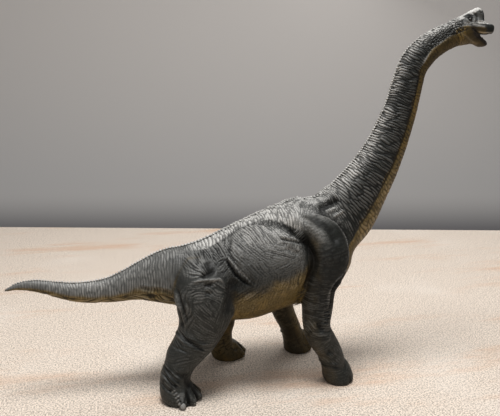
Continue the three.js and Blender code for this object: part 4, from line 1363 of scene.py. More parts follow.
def flank_dark(at):
    """How dark the hide is below the back, away from the legs: darker paint, and painted shade low on the
    flank, round the lower shoulder and down the neck's sides.
    """
    on_torso = 1 - ease(NECK_SEAM - 0.5, NECK_SEAM + 0.5, at.place)
    fore = ease(17, 30, at.x) * ease(146, 126, at.z) * ease(0.4, 0.9, at.angle)
    low = 0.8 * ease(124, 88, at.z) * ease(-74, -60, at.x) * ease(0.5, 1.0, at.angle)
    return (1 - on_torso) * ease(0.2, 0.8, at.angle) + on_torso * np.maximum(fore, low)


def body_owners(at, quads, labels):
    """The moulded node to which each face of the body belongs, or none inside the head."""
    place = at.place[quads].mean(axis=1)
    label = np.median(labels[quads], axis=1).astype(int)
    left = at.points[quads, 1].mean(axis=1) > 0
    cases = [label > 0, place > HEAD_SEAM + 0.12, place > NECK_SEAM, place < TAIL_SEAM, left]
    return np.select(cases, [np.array(["", *LEGS])[label], "", "neck", "tail", "torso_left"], "torso_right")


def light_and_shade_strokes(points, x, z):
    """How much painted highlight and painted shade lies along the flank's forms."""
    side = np.abs(points[:, 1])
    outer = np.maximum(ease(4, 9, side) * ease(40, 60, z), ease(38, 43, side))
    for strokes in (HIGHLIGHT_STROKES, SHADE_STROKES):
        total = np.zeros(len(points))
        for line, width, strength in strokes:
            gap, along, _ = near_line(x, z, line)
            total = np.maximum(total, (0.25 + 0.75 * tapered(along, 0.2)) * strength * bell(gap, width))
        yield total * outer


def paint_shares(points, fine, large, worn, olive, dark):
    """Shares of the paints, for each point."""
    dark = np.clip(dark, 0, 1)
    patch = 0.75 + 0.25 * cloud(points, 14.0, 12)
    ridge = (ease(0.0, 0.24, fine) * 0.95 + 0.25 * worn) * worn * patch
    # Painted highlight on the tops of the large swellings
    swell = ease(0.4, 2.2, large) * 0.1 * (1 - dark)
    return {
        "worn": np.clip(ridge + swell * (1 - ridge), 0, 1),
        # Dark wash in the fine grooves, and painted shade in the large folds
        "wash": np.clip(ease(0.04, -0.22, fine) + ease(-0.15, -1.6, large) * 0.9, 0, 1),
        "olive": np.clip(olive, 0, 1),
        "dark": dark,
        "mouth": np.zeros(len(points)),
    }


# Head


def head_tube(rows, power):
    """A closed skin with square shoulders through stations given from the head base."""
    angle = circle(HEAD_SIDES)
    rise, spread = (np.sign(turn) * np.abs(turn) ** (2 / power) for turn in (np.cos(angle), np.sin(angle)))
    rows = finer_rows(np.array(rows) + (*HEAD_BASE, *HEAD_BASE, 0))
    return closed_tube(section_rings(rows, rise, spread))


def egg(centre, radii):
    """A closed ball with three radii, placed from the head base."""
    turn, angle = np.meshgrid(np.linspace(0.02, np.pi - 0.02, 24), circle(32), indexing="ij")
    rings = np.stack([np.cos(turn), np.sin(turn) * np.cos(angle), np.sin(turn) * np.sin(angle)], -1) * radii
    return closed_tube(rings[::-1] + (centre[0] + HEAD_BASE[0], centre[1], centre[2] + HEAD_BASE[1]))


def head_field():
    """The joined skin of skull, snout, crest and jaw with its hollows, and the distances to its parts."""
    field = Field(HEAD_LOW, HEAD_SHAPE, HEAD_VOXEL)
    skull = field.add(*body_tube(smooth_rows(SPINE, np.arange(HEAD_SEAM - 0.6, HEAD_SEAM + 5.2, RING_STEP))))
    snout = field.add(*head_tube(SNOUT_ROWS, 3.0), 1.6)
    field.add(*head_tube(CREST_ROWS, 2.2), 1.8)
    jaw = field.add(*head_tube(JAW_ROWS, 2.6), 1.0)
    wedge = np.array(MOUTH_OUTLINE) + HEAD_BASE
    field.cut(*closed_tube(np.stack([np.insert(wedge, 1, side, axis=1) for side in (-12, 12)])))
    for (x, y, z), radii in HEAD_HOLLOWS:
        for side in (-y, y) if y else (0,):
            field.cut(*egg((x, side, z), radii))
    field.add(*egg(*TONGUE), 0.8)
    return field, (skull, snout), jaw


class HeadPlaces:
    """Where points of the head lie from its base, and the parts to which they belong."""

    def __init__(self, points, place, normals, skull, jaw):
        self.points = points
        self.x, self.z = points[:, 0] - HEAD_BASE[0], points[:, 2] - HEAD_BASE[1]
        self.out = np.abs(points[:, 1])
        self.outer = ease(2.0, 4.5, self.out)
        self.ahead = ease(HEAD_SEAM, HEAD_SEAM + 2.0, place)
        self.jawed = jaw.read(points) < np.minimum(*(part.read(points) for part in skull))
        self.pebbles = plates(self.x / 1.2 + 50, self.z / 1.2 + self.out / 1.2, 111)
        self.eye = np.hypot((self.x - EYE[0]) / 1.15, self.z - EYE[2])
        self.inward = mouth_share(self, normals)

    def near(self, line, width):
        """1 on a line of the head's side, falling to 0 beside it and towards the middle."""
        return bell(near_line(self.x, self.z, line)[0], width) * self.outer


@lru_cache(maxsize=1)
def head_skin():
    """The head's skin, displaced, with its paint and the piece of each face."""
    field, skull, jaw = head_field()
    points, normals, quads = field.skin(3, 0)
    skin = SkinPlaces(points)
    fine, _, worn = fine_relief(skin)
    at = HeadPlaces(points, skin.place, normals, skull, jaw)
    fine = fine * (1 - at.ahead) + 0.10 * (at.pebbles - SKIN_LEVEL) * at.ahead
    large = head_forms(at)
    shaped = points + normals * ((fine + large) * (1 - at.inward))[:, None]
    shares = head_paint(at, fine, large, worn * (1 - at.ahead))
    seam = np.interp(at.z[quads].mean(axis=1), [-7.5, 4.6], [19.4, 16.0])
    is_jaw = (at.jawed[quads].mean(axis=1) > 0.5) & (at.x[quads].mean(axis=1) > seam)
    owner = np.where(is_jaw, "lower_jaw", "head")
    owner[skin.place[quads].mean(axis=1) < HEAD_SEAM] = ""
    return shaped, quads, owner, shares


def head_forms(at):
    """The creases and pits of the head, and the rim round each eye."""
    large = folded(at.x, at.z, HEAD_CREASES)
    for (pit_x, pit_z), width, depth in HEAD_PITS:
        large -= depth * bell(np.hypot(at.x - pit_x, at.z - pit_z), width)
    return at.outer * (large + 0.55 * bell(at.eye - 2.9, 0.55) - 1.2 * bell(at.eye, 1.9))


def head_paint(at, fine, large, worn):
    """Shares of the paints on the head."""
    x, z, jawed, outer = at.x, at.z, at.jawed, at.outer
    cheek = np.interp(x, *zip(*CHEEK_LINE))
    below = ease(0.8, -0.8, z - cheek + 0.6 * cloud(at.points, 3.0, 13))
    olive = np.maximum(below * 0.95, 0.75 * jawed) * (1 - 0.3 * ease(20, 34, x))
    lipped = bell(z - np.interp(x, *zip(*LIP_LINE)), 0.8) * ease(14, 20, x)
    tip = ease(26, 31, x) * ~jawed * ease(9.9, 8.8, z) * (1 - lipped)
    dark = 0.35 + 0.3 * cloud(at.points, 6.0, 14)
    shares = paint_shares(at.points, fine, large, worn, olive * (1 - 0.8 * tip), dark)

    # Dark wash and painted shade in the hollows round the eye, on the crest's front and in the nostril, along
    # the snout's crease and under the head
    socket = ease(1.25, 0.75, np.hypot((x - 12.4) / 4.2, (z - 15.0) / 2.6)) * ease(1.0, 3.0, at.out)
    front = 0.95 * ease(25.3, 26.5, x) * ease(11, 12.5, z)
    nostril = bell(np.hypot(x - 24.6, z - 18.4), 1.4) * outer
    hollow = most(socket, 0.6 * bell(at.eye, 2.4) * outer, 0.9 * at.near(CREST_CREASE, 1.0), front, nostril)
    wash = np.clip(np.maximum(shares["wash"], hollow * 0.95) + 0.62 * below * at.ahead, 0, 1)
    shares["wash"] = np.maximum(wash, 0.9 * at.near(SNOUT_CREASE, 0.5))

    # Painted highlight on the roof and the top of the snout; pale paint on the upper lip and the eye's lids,
    # and in streaks
    roof = ease(-3.0, -1.2, z - np.interp(x, *zip(*ROOF_LINE))) * (1 - 0.8 * ease(24.8, 26.4, x))
    snout = ease(8.8, 9.3, z) * ease(12.2, 11.2, z) * ease(17, 21, x) * ease(34, 29, x)
    crest_side = ease(19.5, 21, x) * ease(27.6, 26.6, x) * ease(10.5, 12, z)
    lid = 0.35 * bell(z - cheek - 0.5, 0.8) * ease(15, 11, x)
    lid = np.maximum(0.3 * bell(at.eye - 2.5, 0.7), lid) * outer
    pale = most(roof, snout, lipped * ~jawed * 0.9, lid) * at.ahead
    pale = most(shares["worn"], pale, 0.03 * crest_side) * (1 - hollow)
    jaw_gap = near_line(x, z, [row[:2] for row in JAW_ROWS])[0]
    chin = jawed * ease(6.4, 8.2, jaw_gap) * ease(18, 23, x)
    shares["worn"] = most(pale, 0.08 * chin, *(share * at.near(line, 0.9) for line, share in HEAD_STREAKS))
    shares["dark"] = np.clip(shares["dark"] * (1 - 0.2 * crest_side) + 0.5 * jawed * (1 - chin) + tip, 0, 1)

    # The mouth's dark lips and corner: dark paint and painted shade where the jaws meet
    lower = jawed | (z < np.interp(x, *zip(*LOWER_LINE)))
    lips = (0.45 * ease(7.2, 4.6, jaw_gap) + 0.55 * ease(4.9, 3.7, jaw_gap)) * ease(13, 16.5, x) * lower
    corner = bell(np.hypot((x - 16.6) / 2.6, (z - 3.0 + (x - 17) * 0.5) / 1.4), 1.8)
    lips = np.clip(np.maximum(lips * (0.8 + 0.4 * at.pebbles) * 0.9, corner), 0, 1)
    shares["mouth"] = np.maximum(at.inward, lips)
    return shares


def mouth_share(at, normals):
    """How far a point belongs to the inside of the mouth."""
    lip = np.interp(at.x, [13, 20, 26, 34, 40], [4.5, 2.4, 1.9, 1.7, 2.6])
    roof = ease(-0.25, -0.8, normals[:, 2]) * ease(0.6, -0.6, at.z - lip - 1.4) * ~at.jawed
    floor = ease(0.2, 0.75, normals[:, 2]) * at.jawed
    inside = ease(5.6, 4.6, at.out) * ease(14, 16, at.x)
    deep = ease(19.5, 17.5, at.x) * ease(14, 15.5, at.x) * ease(3.4, 1.5, np.abs(at.z - 2.6))
    return np.clip(np.maximum((roof + floor) * inside, deep * 0.7), 0, 1) * ease(14, 16, at.x)


# Meshes


def boundary_loops(quads):
    """Closed loops of vertex numbers round the open edges of quads, in the quads' own order."""
    edges = quad_edges(quads).astype(np.int64)
    size = quads.max() + 1
    twins = edges[:, 1] * size + edges[:, 0]
    open_edges = edges[~np.isin(edges[:, 0] * size + edges[:, 1], twins)]
    after = {}
    for start, end in open_edges.tolist():
        after.setdefault(start, []).append(end)
    loops = []
    while after:
        start = here = next(iter(after))
        loop = [start]
        while True:
            ends = after[here]
            here = ends.pop()
            if not ends:
                del after[loop[-1]]
            if here == start:
                break
            loop.append(here)
        loops.append(loop)
    return loops


def add_object(name, data):
    """An object made from its data and linked to the scene."""
    made = bpy.data.objects.new(name, data)
    bpy.context.scene.collection.objects.link(made)
    return made


def set_shares(mesh, shares):
    """Writes a number for each point of a mesh, as attributes by name."""
    for name, values in shares.items():
        mesh.attributes.new(name, "FLOAT", "POINT").data.foreach_set("value", np.asarray(values, np.float32))


def piece_mesh(name, points, quads, shares, material):
    """A closed mesh object from some quads, with its open edges capped towards its inside."""
    used, inverse = np.unique(quads, return_inverse=True)
    local = inverse.reshape(quads.shape)
    verts = points[used]
    centre = verts.mean(axis=0)
    skin_normals = unit_normals(verts, local)
    caps, extra, kept = [], [], []
    for loop in boundary_loops(local):
        middle = verts[loop].mean(axis=0)
        first = len(verts) + len(extra)
        extra += [*(verts[loop] - skin_normals[loop] * CAP_INSET), middle + (centre - middle) * CAP_PULL]
        kept += [*loop, loop[0]]
        for step, here in enumerate(loop):
            after = (step + 1) % len(loop)
            caps += [(loop[after], here, first + step), (loop[after], first + step, first + after)]
            caps.append((first + after, first + step, first + len(loop)))
    mesh = plain_mesh(name, np.vstack([verts, *extra]) * MM, local, caps)
    mesh.materials.append(material)
    set_shares(mesh, {key: np.concatenate([value[used], value[used][kept]]) for key, value in shares.items()})
    mesh.shade_smooth()
    if caps:
        flags = np.arange(len(mesh.polygons)) >= len(local)
        mesh.attributes.new("sharp_face", "BOOLEAN", "FACE").data.foreach_set("value", flags)
    mesh.update()
    return add_object(name, mesh)


# Small forms that repeat


def add_node(tree, kind, settings, inputs):
    """Adds a node, sets it, fills its sockets with values or links and returns its outputs."""
    made = tree.nodes.new(kind)
    for key, value in settings.items():
        setattr(made, key, value)
    for key, value in inputs.items():
        if isinstance(value, bpy.types.NodeSocket):
            tree.links.new(value, made.inputs[key])
        else:
            made.inputs[key].default_value = value
    return made.outputs


def copies_tree():
    """A node tree that sets copies of a form on points that carry their directions and size."""
    tree = bpy.data.node_groups.new("copies_on_points", "GeometryNodeTree")
    sockets = {"Points": "Geometry", "Unit": "Object", "Finish": "Material", "Grow": "Float", "Seed": "Int"}
    for label, kind in sockets.items():
        tree.interface.new_socket(label, in_out="INPUT", socket_type=f"NodeSocket{kind}")
    tree.interface.new_socket("Copies", in_out="OUTPUT", socket_type="NodeSocketGeometry")

    def add(kind, inputs=None, **settings):
        return add_node(tree, kind, settings, inputs or {})

    group = add("NodeGroupInput")
    ahead, rise, size = (
        add("GeometryNodeInputNamedAttribute", {"Name": name}, data_type="FLOAT_VECTOR")[0]
        for name in ("ahead", "rise", "size")
    )
    turn = add("FunctionNodeAxesToRotation", {0: ahead, 1: rise}, primary_axis="X", secondary_axis="Z")[0]
    sizes = {"Min": 0.85, "Max": 1.12, "Seed": group["Seed"]}
    vary = add("FunctionNodeRandomValue", sizes, data_type="FLOAT")["Value"]
    grow = add("ShaderNodeMath", {0: vary, 1: group["Grow"]}, operation="MULTIPLY")[0]
    scale = add("ShaderNodeVectorMath", {0: size, "Scale": grow}, operation="SCALE")[0]
    unit = add("GeometryNodeObjectInfo", {"Object": group["Unit"]})["Geometry"]
    set_on = {"Points": group["Points"], "Instance": unit, "Rotation": turn, "Scale": scale}
    copies = add("GeometryNodeInstanceOnPoints", set_on)["Instances"]
    real = add("GeometryNodeRealizeInstances", {"Geometry": copies})[0]
    dressed = add("GeometryNodeSetMaterial", {"Geometry": real, "Material": group["Finish"]})[0]
    add("NodeGroupOutput", {"Copies": dressed})
    return tree


def ball_mesh(name, sides, rings, radius):
    """A ball and the coordinates of its points."""
    form = bmesh.new()
    bmesh.ops.create_uvsphere(form, u_segments=sides, v_segments=rings, radius=radius)
    mesh = bpy.data.meshes.new(name)
    form.to_mesh(mesh)
    form.free()
    points = np.empty(len(mesh.vertices) * 3)
    mesh.vertices.foreach_get("co", points)
    return mesh, points.reshape(-1, 3)


def bead(sides, rings, shape, pale, dark):
    """A small closed form of unit size along x, with a painted highlight on its top and painted shade round
    its foot.
    """
    mesh, points = ball_mesh("unit", sides, rings, 1.0)
    height = points[:, 2]
    set_shares(mesh, {"worn": pale * ease(-0.3, 0.5, height), "wash": dark * ease(0.0, -0.5, height)})
    mesh.vertices.foreach_set("co", shape(points).ravel())
    mesh.shade_smooth()
    return add_object("unit", mesh)


def keeled(points):
    """A ball as a broad scale that leans back."""
    return points * (0.9, 1.35, 1.0) - (0.3, 0, 0) * points[:, 2:]


def hooked(points):
    """A ball as a nail that bends down at its tip."""
    return points - (0, 0, 0.3) * points[:, :1] ** 2


def repeated(name, unit, places, ahead, rise, sizes, finish, seed):
    """Copies of a small form on points, made by the node tree and kept as a plain mesh."""
    points = bpy.data.meshes.new(f"{name}_places")
    points.from_pydata((places * MM).tolist(), [], [])
    for key, values in (("ahead", ahead), ("rise", rise), ("size", sizes)):
        attribute = points.attributes.new(key, "FLOAT_VECTOR", "POINT")
        attribute.data.foreach_set("vector", np.asarray(values, np.float32).ravel())
    holder = add_object(name, points)
    modifier = holder.modifiers.new("copies", "NODES")
    modifier.node_group = copies_tree()
    chosen = {"Unit": unit, "Finish": finish, "Grow": MM, "Seed": seed}
    for item in modifier.node_group.interface.items_tree:
        if item.name in chosen:
            modifier[item.identifier] = chosen[item.name]
    mesh = bpy.data.meshes.new_from_object(holder.evaluated_get(bpy.context.evaluated_depsgraph_get()))
    holder.modifiers.clear()
    holder.data = mesh
    bpy.data.objects.remove(unit)
    return holder


def dorsal_scales(finish):
    """A row of small keeled scales along the back, from the tail's tip to the head."""
    places = []
    place = 0.6
    while place < HEAD_SEAM - 0.2:
        places.append(place)
        rows = smooth_rows(SPINE, [place, place + SPINE_NUDGE])
        reach = np.hypot(*(rows[1, :2] - rows[0, :2])) / SPINE_NUDGE
        place += np.interp(place, *zip(*SCALE_PITCHES)) / reach
    places = np.array(places)
    spots, later = (smooth_rows(SPINE, places + step)[:, :2] for step in (0, SPINE_NUDGE))
    ahead = later - spots
    ahead /= np.linalg.norm(ahead, axis=1, keepdims=True)
    rise = np.stack([-ahead[:, 1], ahead[:, 0]], axis=1)
    size = np.interp(places, *zip(*SCALE_SIZES))
    sink = np.interp(spots[:, 0] - FLANK_ORIGIN, *zip(*WITHERS)) * (places < HEAD_SEAM - 3)
    spots = spots + rise * (size * 0.35 + sink)[:, None]
    return repeated(
        "dorsal_scales",
        bead(8, 6, keeled, pale=1.0, dark=0.1),
        *(np.insert(one, 1, 0, axis=1) for one in (spots, ahead, rise)),
        size[:, None] * (1.0, 1.1, 0.95),
        finish,
        seed=4,
    )


def toe_nails(finish):
    """A blunt nail on each toe of the hind feet."""
    nails = []
    for pair, side, stations in LEGS.values():
        angles = TOE_ANGLES[f"{pair}_{side}"] if pair == "hind" else ()
        for degrees in angles:
            big = degrees == angles[-1]
            turn = math.radians(degrees) * SIGNS[side]
            out = np.array([math.cos(turn), math.sin(turn), 0])
            place = (stations[-1][0], stations[-1][1], 0) + out * (16.0 if big else 15.0) + (0, 0, 3.05)
            nails.append((place, out + (0, 0, -0.5), (0, 0, 1), (3.1, 2.2, 2.1) if big else (2.4, 2.0, 1.6)))
    return repeated(
        "toe_nails",
        bead(12, 8, hooked, pale=0.4, dark=0.4),
        *(np.array(one) for one in zip(*nails)),
        finish,
        seed=9,
    )


# Materials


class Socket:
    """A node's output that takes part in sums."""

    def __init__(self, graph, link):
        self.graph = graph
        self.link = link

    def _math(self, operation, first, second=0.0):
        return self.graph.node("ShaderNodeMath", {"operation": operation}, {0: first, 1: second})

    def __add__(self, other):
        return self._math("ADD", self, other)

    __radd__ = __add__

    def __sub__(self, other):
        return self._math("SUBTRACT", self, other)

    def __rsub__(self, other):
        return self._math("SUBTRACT", other, self)

    def __mul__(self, other):
        return self._math("MULTIPLY", self, other)

    __rmul__ = __mul__

    def low(self, other):
        return self._math("MINIMUM", self, other)


class Graph:
    """The nodes of one material."""

    def __init__(self, name):
        self.material = bpy.data.materials.new(name)
        self.material.use_nodes = True
        self.tree = self.material.node_tree
        self.tree.nodes.clear()

    def node(self, kind, settings=None, inputs=None, output=0):
        """Adds a node, sets it, fills its sockets and returns one output."""
        inputs = {key: getattr(value, "link", value) for key, value in (inputs or {}).items()}
        return Socket(self, add_node(self.tree, kind, settings or {}, inputs)[output])

    def attribute(self, name):
        return self.node("ShaderNodeAttribute", {"attribute_name": name}, output="Fac")

    def place(self):
        return self.node("ShaderNodeTexCoord", output="Object")

    def noise(self, scale, detail, rough=0.5, place=None):
        made = {"Vector": place or self.place(), "Scale": scale, "Detail": detail, "Roughness": rough}
        return self.node("ShaderNodeTexNoise", None, made, "Fac")

    def step(self, value, low, high):
        made = {"Value": value, "From Min": low, "From Max": high}
        return self.node("ShaderNodeMapRange", {"interpolation_type": "SMOOTHSTEP"}, made, "Result")

    def blend(self, first, second, share):
        made = {"Factor": share, "A": first, "B": second}
        return self.node("ShaderNodeMix", {"data_type": "RGBA"}, made, "Result")

    def finish(self, inputs):
        shader = self.node("ShaderNodeBsdfPrincipled", None, inputs)
        add_node(self.tree, "ShaderNodeOutputMaterial", {}, {"Surface": shader.link})
        return self.material


def linear(red, green, blue):
    """A colour from its screen values, 0 to 255, as the shader's own."""
    def one(value):
        share = value / 255
        return share / 12.92 if share <= 0.04045 else ((share + 0.055) / 1.055) ** 2.4

    return (one(red), one(green), one(blue), 1.0)


@lru_cache(maxsize=None)
def hide_material(name):
    """Painted hide: dark wash and painted shade in the creases, pale brushed ridges and painted highlights,
    olive underneath.
    """
    graph = Graph(name)
    colours = bpy.context.scene.figure_paint
    worn, wash = graph.attribute("worn"), graph.attribute("wash")
    olive, mouth = graph.attribute("olive"), graph.attribute("mouth")
    mottle = graph.noise(90.0, 4.0)
    speck = graph.noise(900.0, 2.0)
    dark = graph.attribute("dark")
    shade = graph.step(dark + (mottle - 0.5) * 0.5, 0.0, 1.0)
    hide = graph.blend(paint(colours.hide), paint(colours.hide_dark), shade)
    under = graph.blend(paint(colours.olive), paint(colours.tan), graph.step(mottle, 0.45, 0.75))
    colour = graph.blend(hide, under, graph.step(olive + (mottle - 0.5) * 0.3, 0.15, 0.85))
    deep = graph.blend(paint(colours.wash), linear(20, 15, 4), olive)
    colour = graph.blend(colour, deep, wash * 0.92)
    pale_share = worn * graph.step(speck * 0.6 + mottle * 0.6, 0.27, 0.66)
    pale = graph.blend(paint(colours.worn), paint(colours.ochre), graph.step(olive, 0.25, 0.9) * 0.85)
    colour = graph.blend(colour, pale, (pale_share * 0.85).low(0.9))
    colour = graph.blend(colour, paint(colours.mouth), mouth)
    grain = {"Strength": 0.25, "Distance": 0.0003, "Height": speck}
    bump = graph.node("ShaderNodeBump", None, grain, "Normal")
    rough = 0.42 + mottle * 0.12 + wash * 0.2
    return graph.finish({"Base Color": colour, "Roughness": rough, "Normal": bump, "Specular IOR Level": 0.3})


def eye_material():
    """Glossy dark eye with a brown ring round its pupil."""
    graph = Graph("glossy_eye")
    ring = graph.attribute("ring")
    colour = graph.blend(linear(8, 7, 6), linear(58, 46, 28), graph.step(ring, 0.5, 0.6))
    colour = graph.blend(colour, linear(12, 10, 8), graph.step(ring, 0.8, 0.95))
    return graph.finish({"Base Color": colour, "Roughness": 0.3})


def paint(colour):
    """A colour setting as a shader colour."""
    return (*colour, 1.0)


# Operators


def skin_piece(skin, node, finish):
    """Makes the piece of a skin that stands for one moulded node."""
    points, quads, owner, shares = skin
    piece = piece_mesh(f"{node}_skin", points, quads[owner == node], shares, hide_material(finish))
    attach(piece, "root")
    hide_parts(node)


class FIGURE_OT_torso(bpy.types.Operator):
    """Sculpts both halves of the torso"""

    bl_idname = "figure.torso"
    bl_label = "Torso"

    def execute(self, context):
        for node in ("torso_left", "torso_right"):
            skin_piece(body_skin(), node, "painted_body")
        return {"FINISHED"}


class FIGURE_OT_tail(bpy.types.Operator):
    """Sculpts the tail"""

    bl_idname = "figure.tail"
    bl_label = "Tail"

    def execute(self, context):
        skin_piece(body_skin(), "tail", "painted_body")
        return {"FINISHED"}


class FIGURE_OT_neck(bpy.types.Operator):
    """Sculpts the neck"""

    bl_idname = "figure.neck"
    bl_label = "Neck"

    def execute(self, context):
        skin_piece(body_skin(), "neck", "painted_body")
        return {"FINISHED"}


class FIGURE_OT_legs(bpy.types.Operator):
    """Sculpts the four legs"""

    bl_idname = "figure.legs"
    bl_label = "Legs"

    def execute(self, context):
        for node in LEGS:
            skin_piece(body_skin(), node, "painted_legs")
        return {"FINISHED"}


class FIGURE_OT_head(bpy.types.Operator):
    """Sculpts the head and the lower jaw"""

    bl_idname = "figure.head"
    bl_label = "Head and jaw"

    def execute(self, context):
        for node in ("head", "lower_jaw"):
            skin_piece(head_skin(), node, "painted_head")
        return {"FINISHED"}


class FIGURE_OT_eyes(bpy.types.Operator):
    """Sets a glossy eye in each socket"""

    bl_idname = "figure.eyes"
    bl_label = "Eyes"

    def execute(self, context):
        finish = eye_material()
        for name, side in (("eye_left", 1), ("eye_right", -1)):
            eye = make_eye(name, side, finish)
            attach(eye, "root")
        return {"FINISHED"}


def make_eye(name, side, finish):
    """A ball that looks out to one side, with its distance from the pupil kept for the paint."""
    centre = (EYE[0] + HEAD_BASE[0], EYE[1] * side, EYE[2] + HEAD_BASE[1])
    mesh, points = ball_mesh(name, 32, 20, EYE_RADIUS)
    gaze = Vector((0.25, side, 0.08)).normalized()
    set_shares(mesh, {"ring": np.clip((1 - points @ np.array(gaze) / EYE_RADIUS) * 3.2, 0, 1)})
    mesh.vertices.foreach_set("co", ((points + centre) * MM).ravel())
    mesh.materials.append(finish)
    mesh.shade_smooth()
    return add_object(name, mesh)


class FIGURE_OT_scales(bpy.types.Operator):
    """Sets the scales along the back and the nails on the hind toes"""

    bl_idname = "figure.scales"
    bl_label = "Scales and nails"

    def execute(self, context):
        scales = dorsal_scales(hide_material("painted_body"))
        nails = toe_nails(hide_material("painted_legs"))
        for piece, slot in ((scales, "body_hide"), (nails, "leg_hide")):
            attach(piece, "root")
        return {"FINISHED"}


class FIGURE_OT_stage(bpy.types.Operator):
    """Sets the table, the wall, the lights and the camera"""

    bl_idname = "figure.stage"
    bl_label = "Stage"

    def execute(self, context):
        make_stage(context.scene.figure_stage)
        make_camera()
        return {"FINISHED"}


CAMERA_AZIMUTH = -13.7
CAMERA_ELEVATION = 10.8
CAMERA_DISTANCE = 489.0
CAMERA_TARGET = (-10.5 + FLANK_ORIGIN, -3.5, 144.0)
CAMERA_LENS = 43.2
TABLE_DEPTH = 552.0
TABLE_LEAN = 90.0
WALL_DISTANCE = 1200.0


def make_camera():
    """The camera at the photograph's viewing angle."""
    azimuth, elevation = math.radians(CAMERA_AZIMUTH), math.radians(CAMERA_ELEVATION)
    level = math.cos(elevation)
    back = Vector((math.sin(azimuth) * level, -math.cos(azimuth) * level, math.sin(elevation)))
    camera = bpy.data.cameras.new("camera")
    camera.lens = CAMERA_LENS
    camera.sensor_width = 36.0
    camera.clip_start = 0.01
    place = (Vector(CAMERA_TARGET) + back * CAMERA_DISTANCE) * MM
    bpy.context.scene.camera = aimed(camera, place, -back)


def aimed(data, place, direction):
    """An object for a camera or a lamp that looks in one direction."""
    holder = add_object(data.name, data)
    holder.location = place
    holder.rotation_euler = direction.to_track_quat("-Z", "Y").to_euler()
    return holder


def make_stage(settings):
    """A pale table top before a grey wall, soft lamps and a plain world."""
    half, wall = 3.0, WALL_DISTANCE * MM
    near, far = (TABLE_DEPTH - TABLE_LEAN) * MM, (TABLE_DEPTH + TABLE_LEAN) * MM
    slab = [(-half, -2.5, 0), (half, -2.5, 0), (half, near, 0), (-half, far, 0)]
    flat_stage("table", slab, table_finish(settings))
    upright = [(-half, wall, -1), (half, wall, -1), (half, wall, 3), (-half, wall, 3)]
    flat_stage("wall", upright, wall_finish(settings))
    lamp("key", (-0.05, -0.12, 1.2), 0.42, 11.8)
    lamp("fill", (-0.9, -1.2, 0.6), 1.0, 1.8)
    lamp("rim", (0.6, 0.7, 0.9), 0.8, 3.5)
    scene = bpy.context.scene
    scene.world = bpy.data.worlds.new("world")
    scene.world.use_nodes = True
    background = scene.world.node_tree.nodes["Background"].inputs
    background["Color"].default_value = (0.8, 0.82, 0.85, 1)
    background["Strength"].default_value = settings.sky_strength
    scene.view_settings.view_transform = "Standard"


def flat_stage(name, corners, finish):
    """One flat face of the stage, square to the camera's direction."""
    turn = Matrix.Rotation(math.radians(CAMERA_AZIMUTH), 4, "Z")
    mesh = bpy.data.meshes.new(name)
    mesh.from_pydata([turn @ Vector(corner) for corner in corners], [], [(0, 1, 2, 3)])
    mesh.materials.append(finish)
    face = add_object(name, mesh)


def table_finish(settings):
    """Speckled pale slab with faint brown streaks."""
    graph = Graph("pale_slab")
    squeezed = {"Vector": graph.place(), "Scale": (2.0, 9.0, 1.0)}
    lengthwise = graph.node("ShaderNodeMapping", None, squeezed, "Vector")
    grain, fleck, cloudy = graph.noise(760.0, 3.0), graph.noise(260.0, 3.0), graph.noise(9.0, 5.0)
    streaks = graph.noise(1.6, 6.0, 0.65, lengthwise)
    slab = paint(settings.table_colour)
    colour = graph.blend(slab, linear(124, 106, 88), graph.step(grain, 0.42, 0.64) * 0.7)
    colour = graph.blend(colour, linear(150, 138, 126), graph.step(fleck, 0.5, 0.75) * 0.35)
    colour = graph.blend(colour, linear(246, 238, 228), graph.step(cloudy, 0.5, 0.8) * 0.3)
    colour = graph.blend(colour, linear(212, 162, 120), graph.step(streaks, 0.5, 0.7) * 0.5)
    return graph.finish({"Base Color": colour, "Roughness": 0.8})


def wall_finish(settings):
    """Plain grey wall that darkens towards its foot."""
    graph = Graph("grey_wall")
    height = graph.node("ShaderNodeSeparateXYZ", None, {"Vector": graph.place()}, "Z")
    colour = graph.blend(linear(96, 94, 98), paint(settings.wall_colour), graph.step(height, -0.2, -0.04))
    return graph.finish({"Base Color": colour, "Roughness": 0.9})


def lamp(name, place, size, power):
    """A square lamp that faces the figure."""
    light = bpy.data.lights.new(name, "AREA")
    light.size = size
    light.energy = power
    aimed(light, place, Vector((0, 0, 0.12)) - Vector(place))


def colour_setting(name, description, *values):
    """A colour property with its default given in screen values."""
    default = linear(*values)[:3]
    return bpy.props.FloatVectorProperty(
        name=name, description=description, subtype="COLOR", size=3, default=default, min=0, max=1
    )


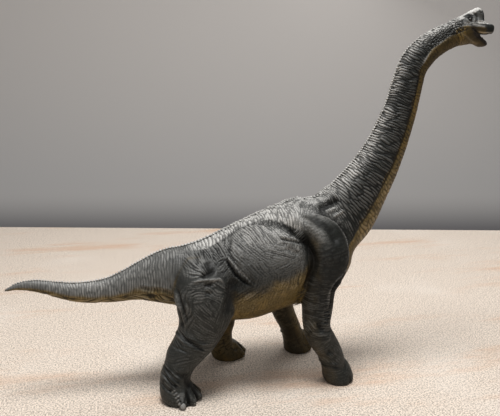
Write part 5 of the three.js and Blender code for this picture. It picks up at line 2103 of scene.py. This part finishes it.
class FigurePaint(bpy.types.PropertyGroup):
    """Colours of the paint"""

    hide: colour_setting("Hide", "Charcoal grey of the hide", 86, 86, 83)
    # The dark hide colour also serves as painted shade low on the body and on the legs
    hide_dark: colour_setting("Dark hide", "Darker patches of the hide", 28, 30, 26)
    # The wash colour also serves as painted shade in folds, hollows, inner legs and under the head
    wash: colour_setting("Wash", "Dark paint that lies in the creases", 9, 10, 8)
    # The pale colour also serves as painted highlight on upper surfaces and the tops of forms
    worn: colour_setting("Brushed ridges", "Pale paint brushed over the ridges", 216, 213, 207)
    olive: colour_setting("Underside", "Olive brown of the underside", 90, 74, 34)
    tan: colour_setting("Light underside", "Lighter patches of the underside", 122, 99, 48)
    # The pale ochre also serves as painted highlight where the olive underside is lit
    ochre: colour_setting("Brushed underside", "Pale ochre brushed over the olive ridges", 190, 170, 126)
    # Dark paint and painted shade inside the mouth, on its lips and at its corner
    mouth: colour_setting("Mouth", "Dark inside of the mouth", 26, 20, 17)


class FigureStage(bpy.types.PropertyGroup):
    """Colours and light of the stage"""

    table_colour: colour_setting("Table", "Colour of the slab under the figure", 246, 231, 215)
    wall_colour: colour_setting("Wall", "Colour of the wall behind", 208, 203, 198)
    sky_strength: bpy.props.FloatProperty(
        name="Sky", description="Strength of the soft light from all around", default=0.3, min=0,
    )


class FIGURE_PT_panel(bpy.types.Panel):
    """Lists the steps that build the figure"""

    bl_label = "Figure"
    bl_idname = "FIGURE_PT_panel"
    bl_space_type = "VIEW_3D"
    bl_region_type = "UI"
    bl_category = "Figure"

    def draw(self, context):
        for operator in OPERATORS:
            self.layout.operator(operator.bl_idname)


OPERATORS = (
    FIGURE_OT_torso,
    FIGURE_OT_tail,
    FIGURE_OT_neck,
    FIGURE_OT_legs,
    FIGURE_OT_head,
    FIGURE_OT_eyes,
    FIGURE_OT_scales,
    FIGURE_OT_stage,
)
CLASSES = (FigurePaint, FigureStage, *OPERATORS, FIGURE_PT_panel)


def register():
    for one in CLASSES:
        bpy.utils.register_class(one)
    bpy.types.Scene.figure_paint = bpy.props.PointerProperty(type=FigurePaint)
    bpy.types.Scene.figure_stage = bpy.props.PointerProperty(type=FigureStage)


def unregister():
    del bpy.types.Scene.figure_stage
    del bpy.types.Scene.figure_paint
    for one in reversed(CLASSES):
        bpy.utils.unregister_class(one)


def main():
    register()
    for step in ("torso", "tail", "neck", "legs", "head", "eyes", "scales", "stage"):
        getattr(bpy.ops.figure, step)()


if __name__ == "__main__":
    main()
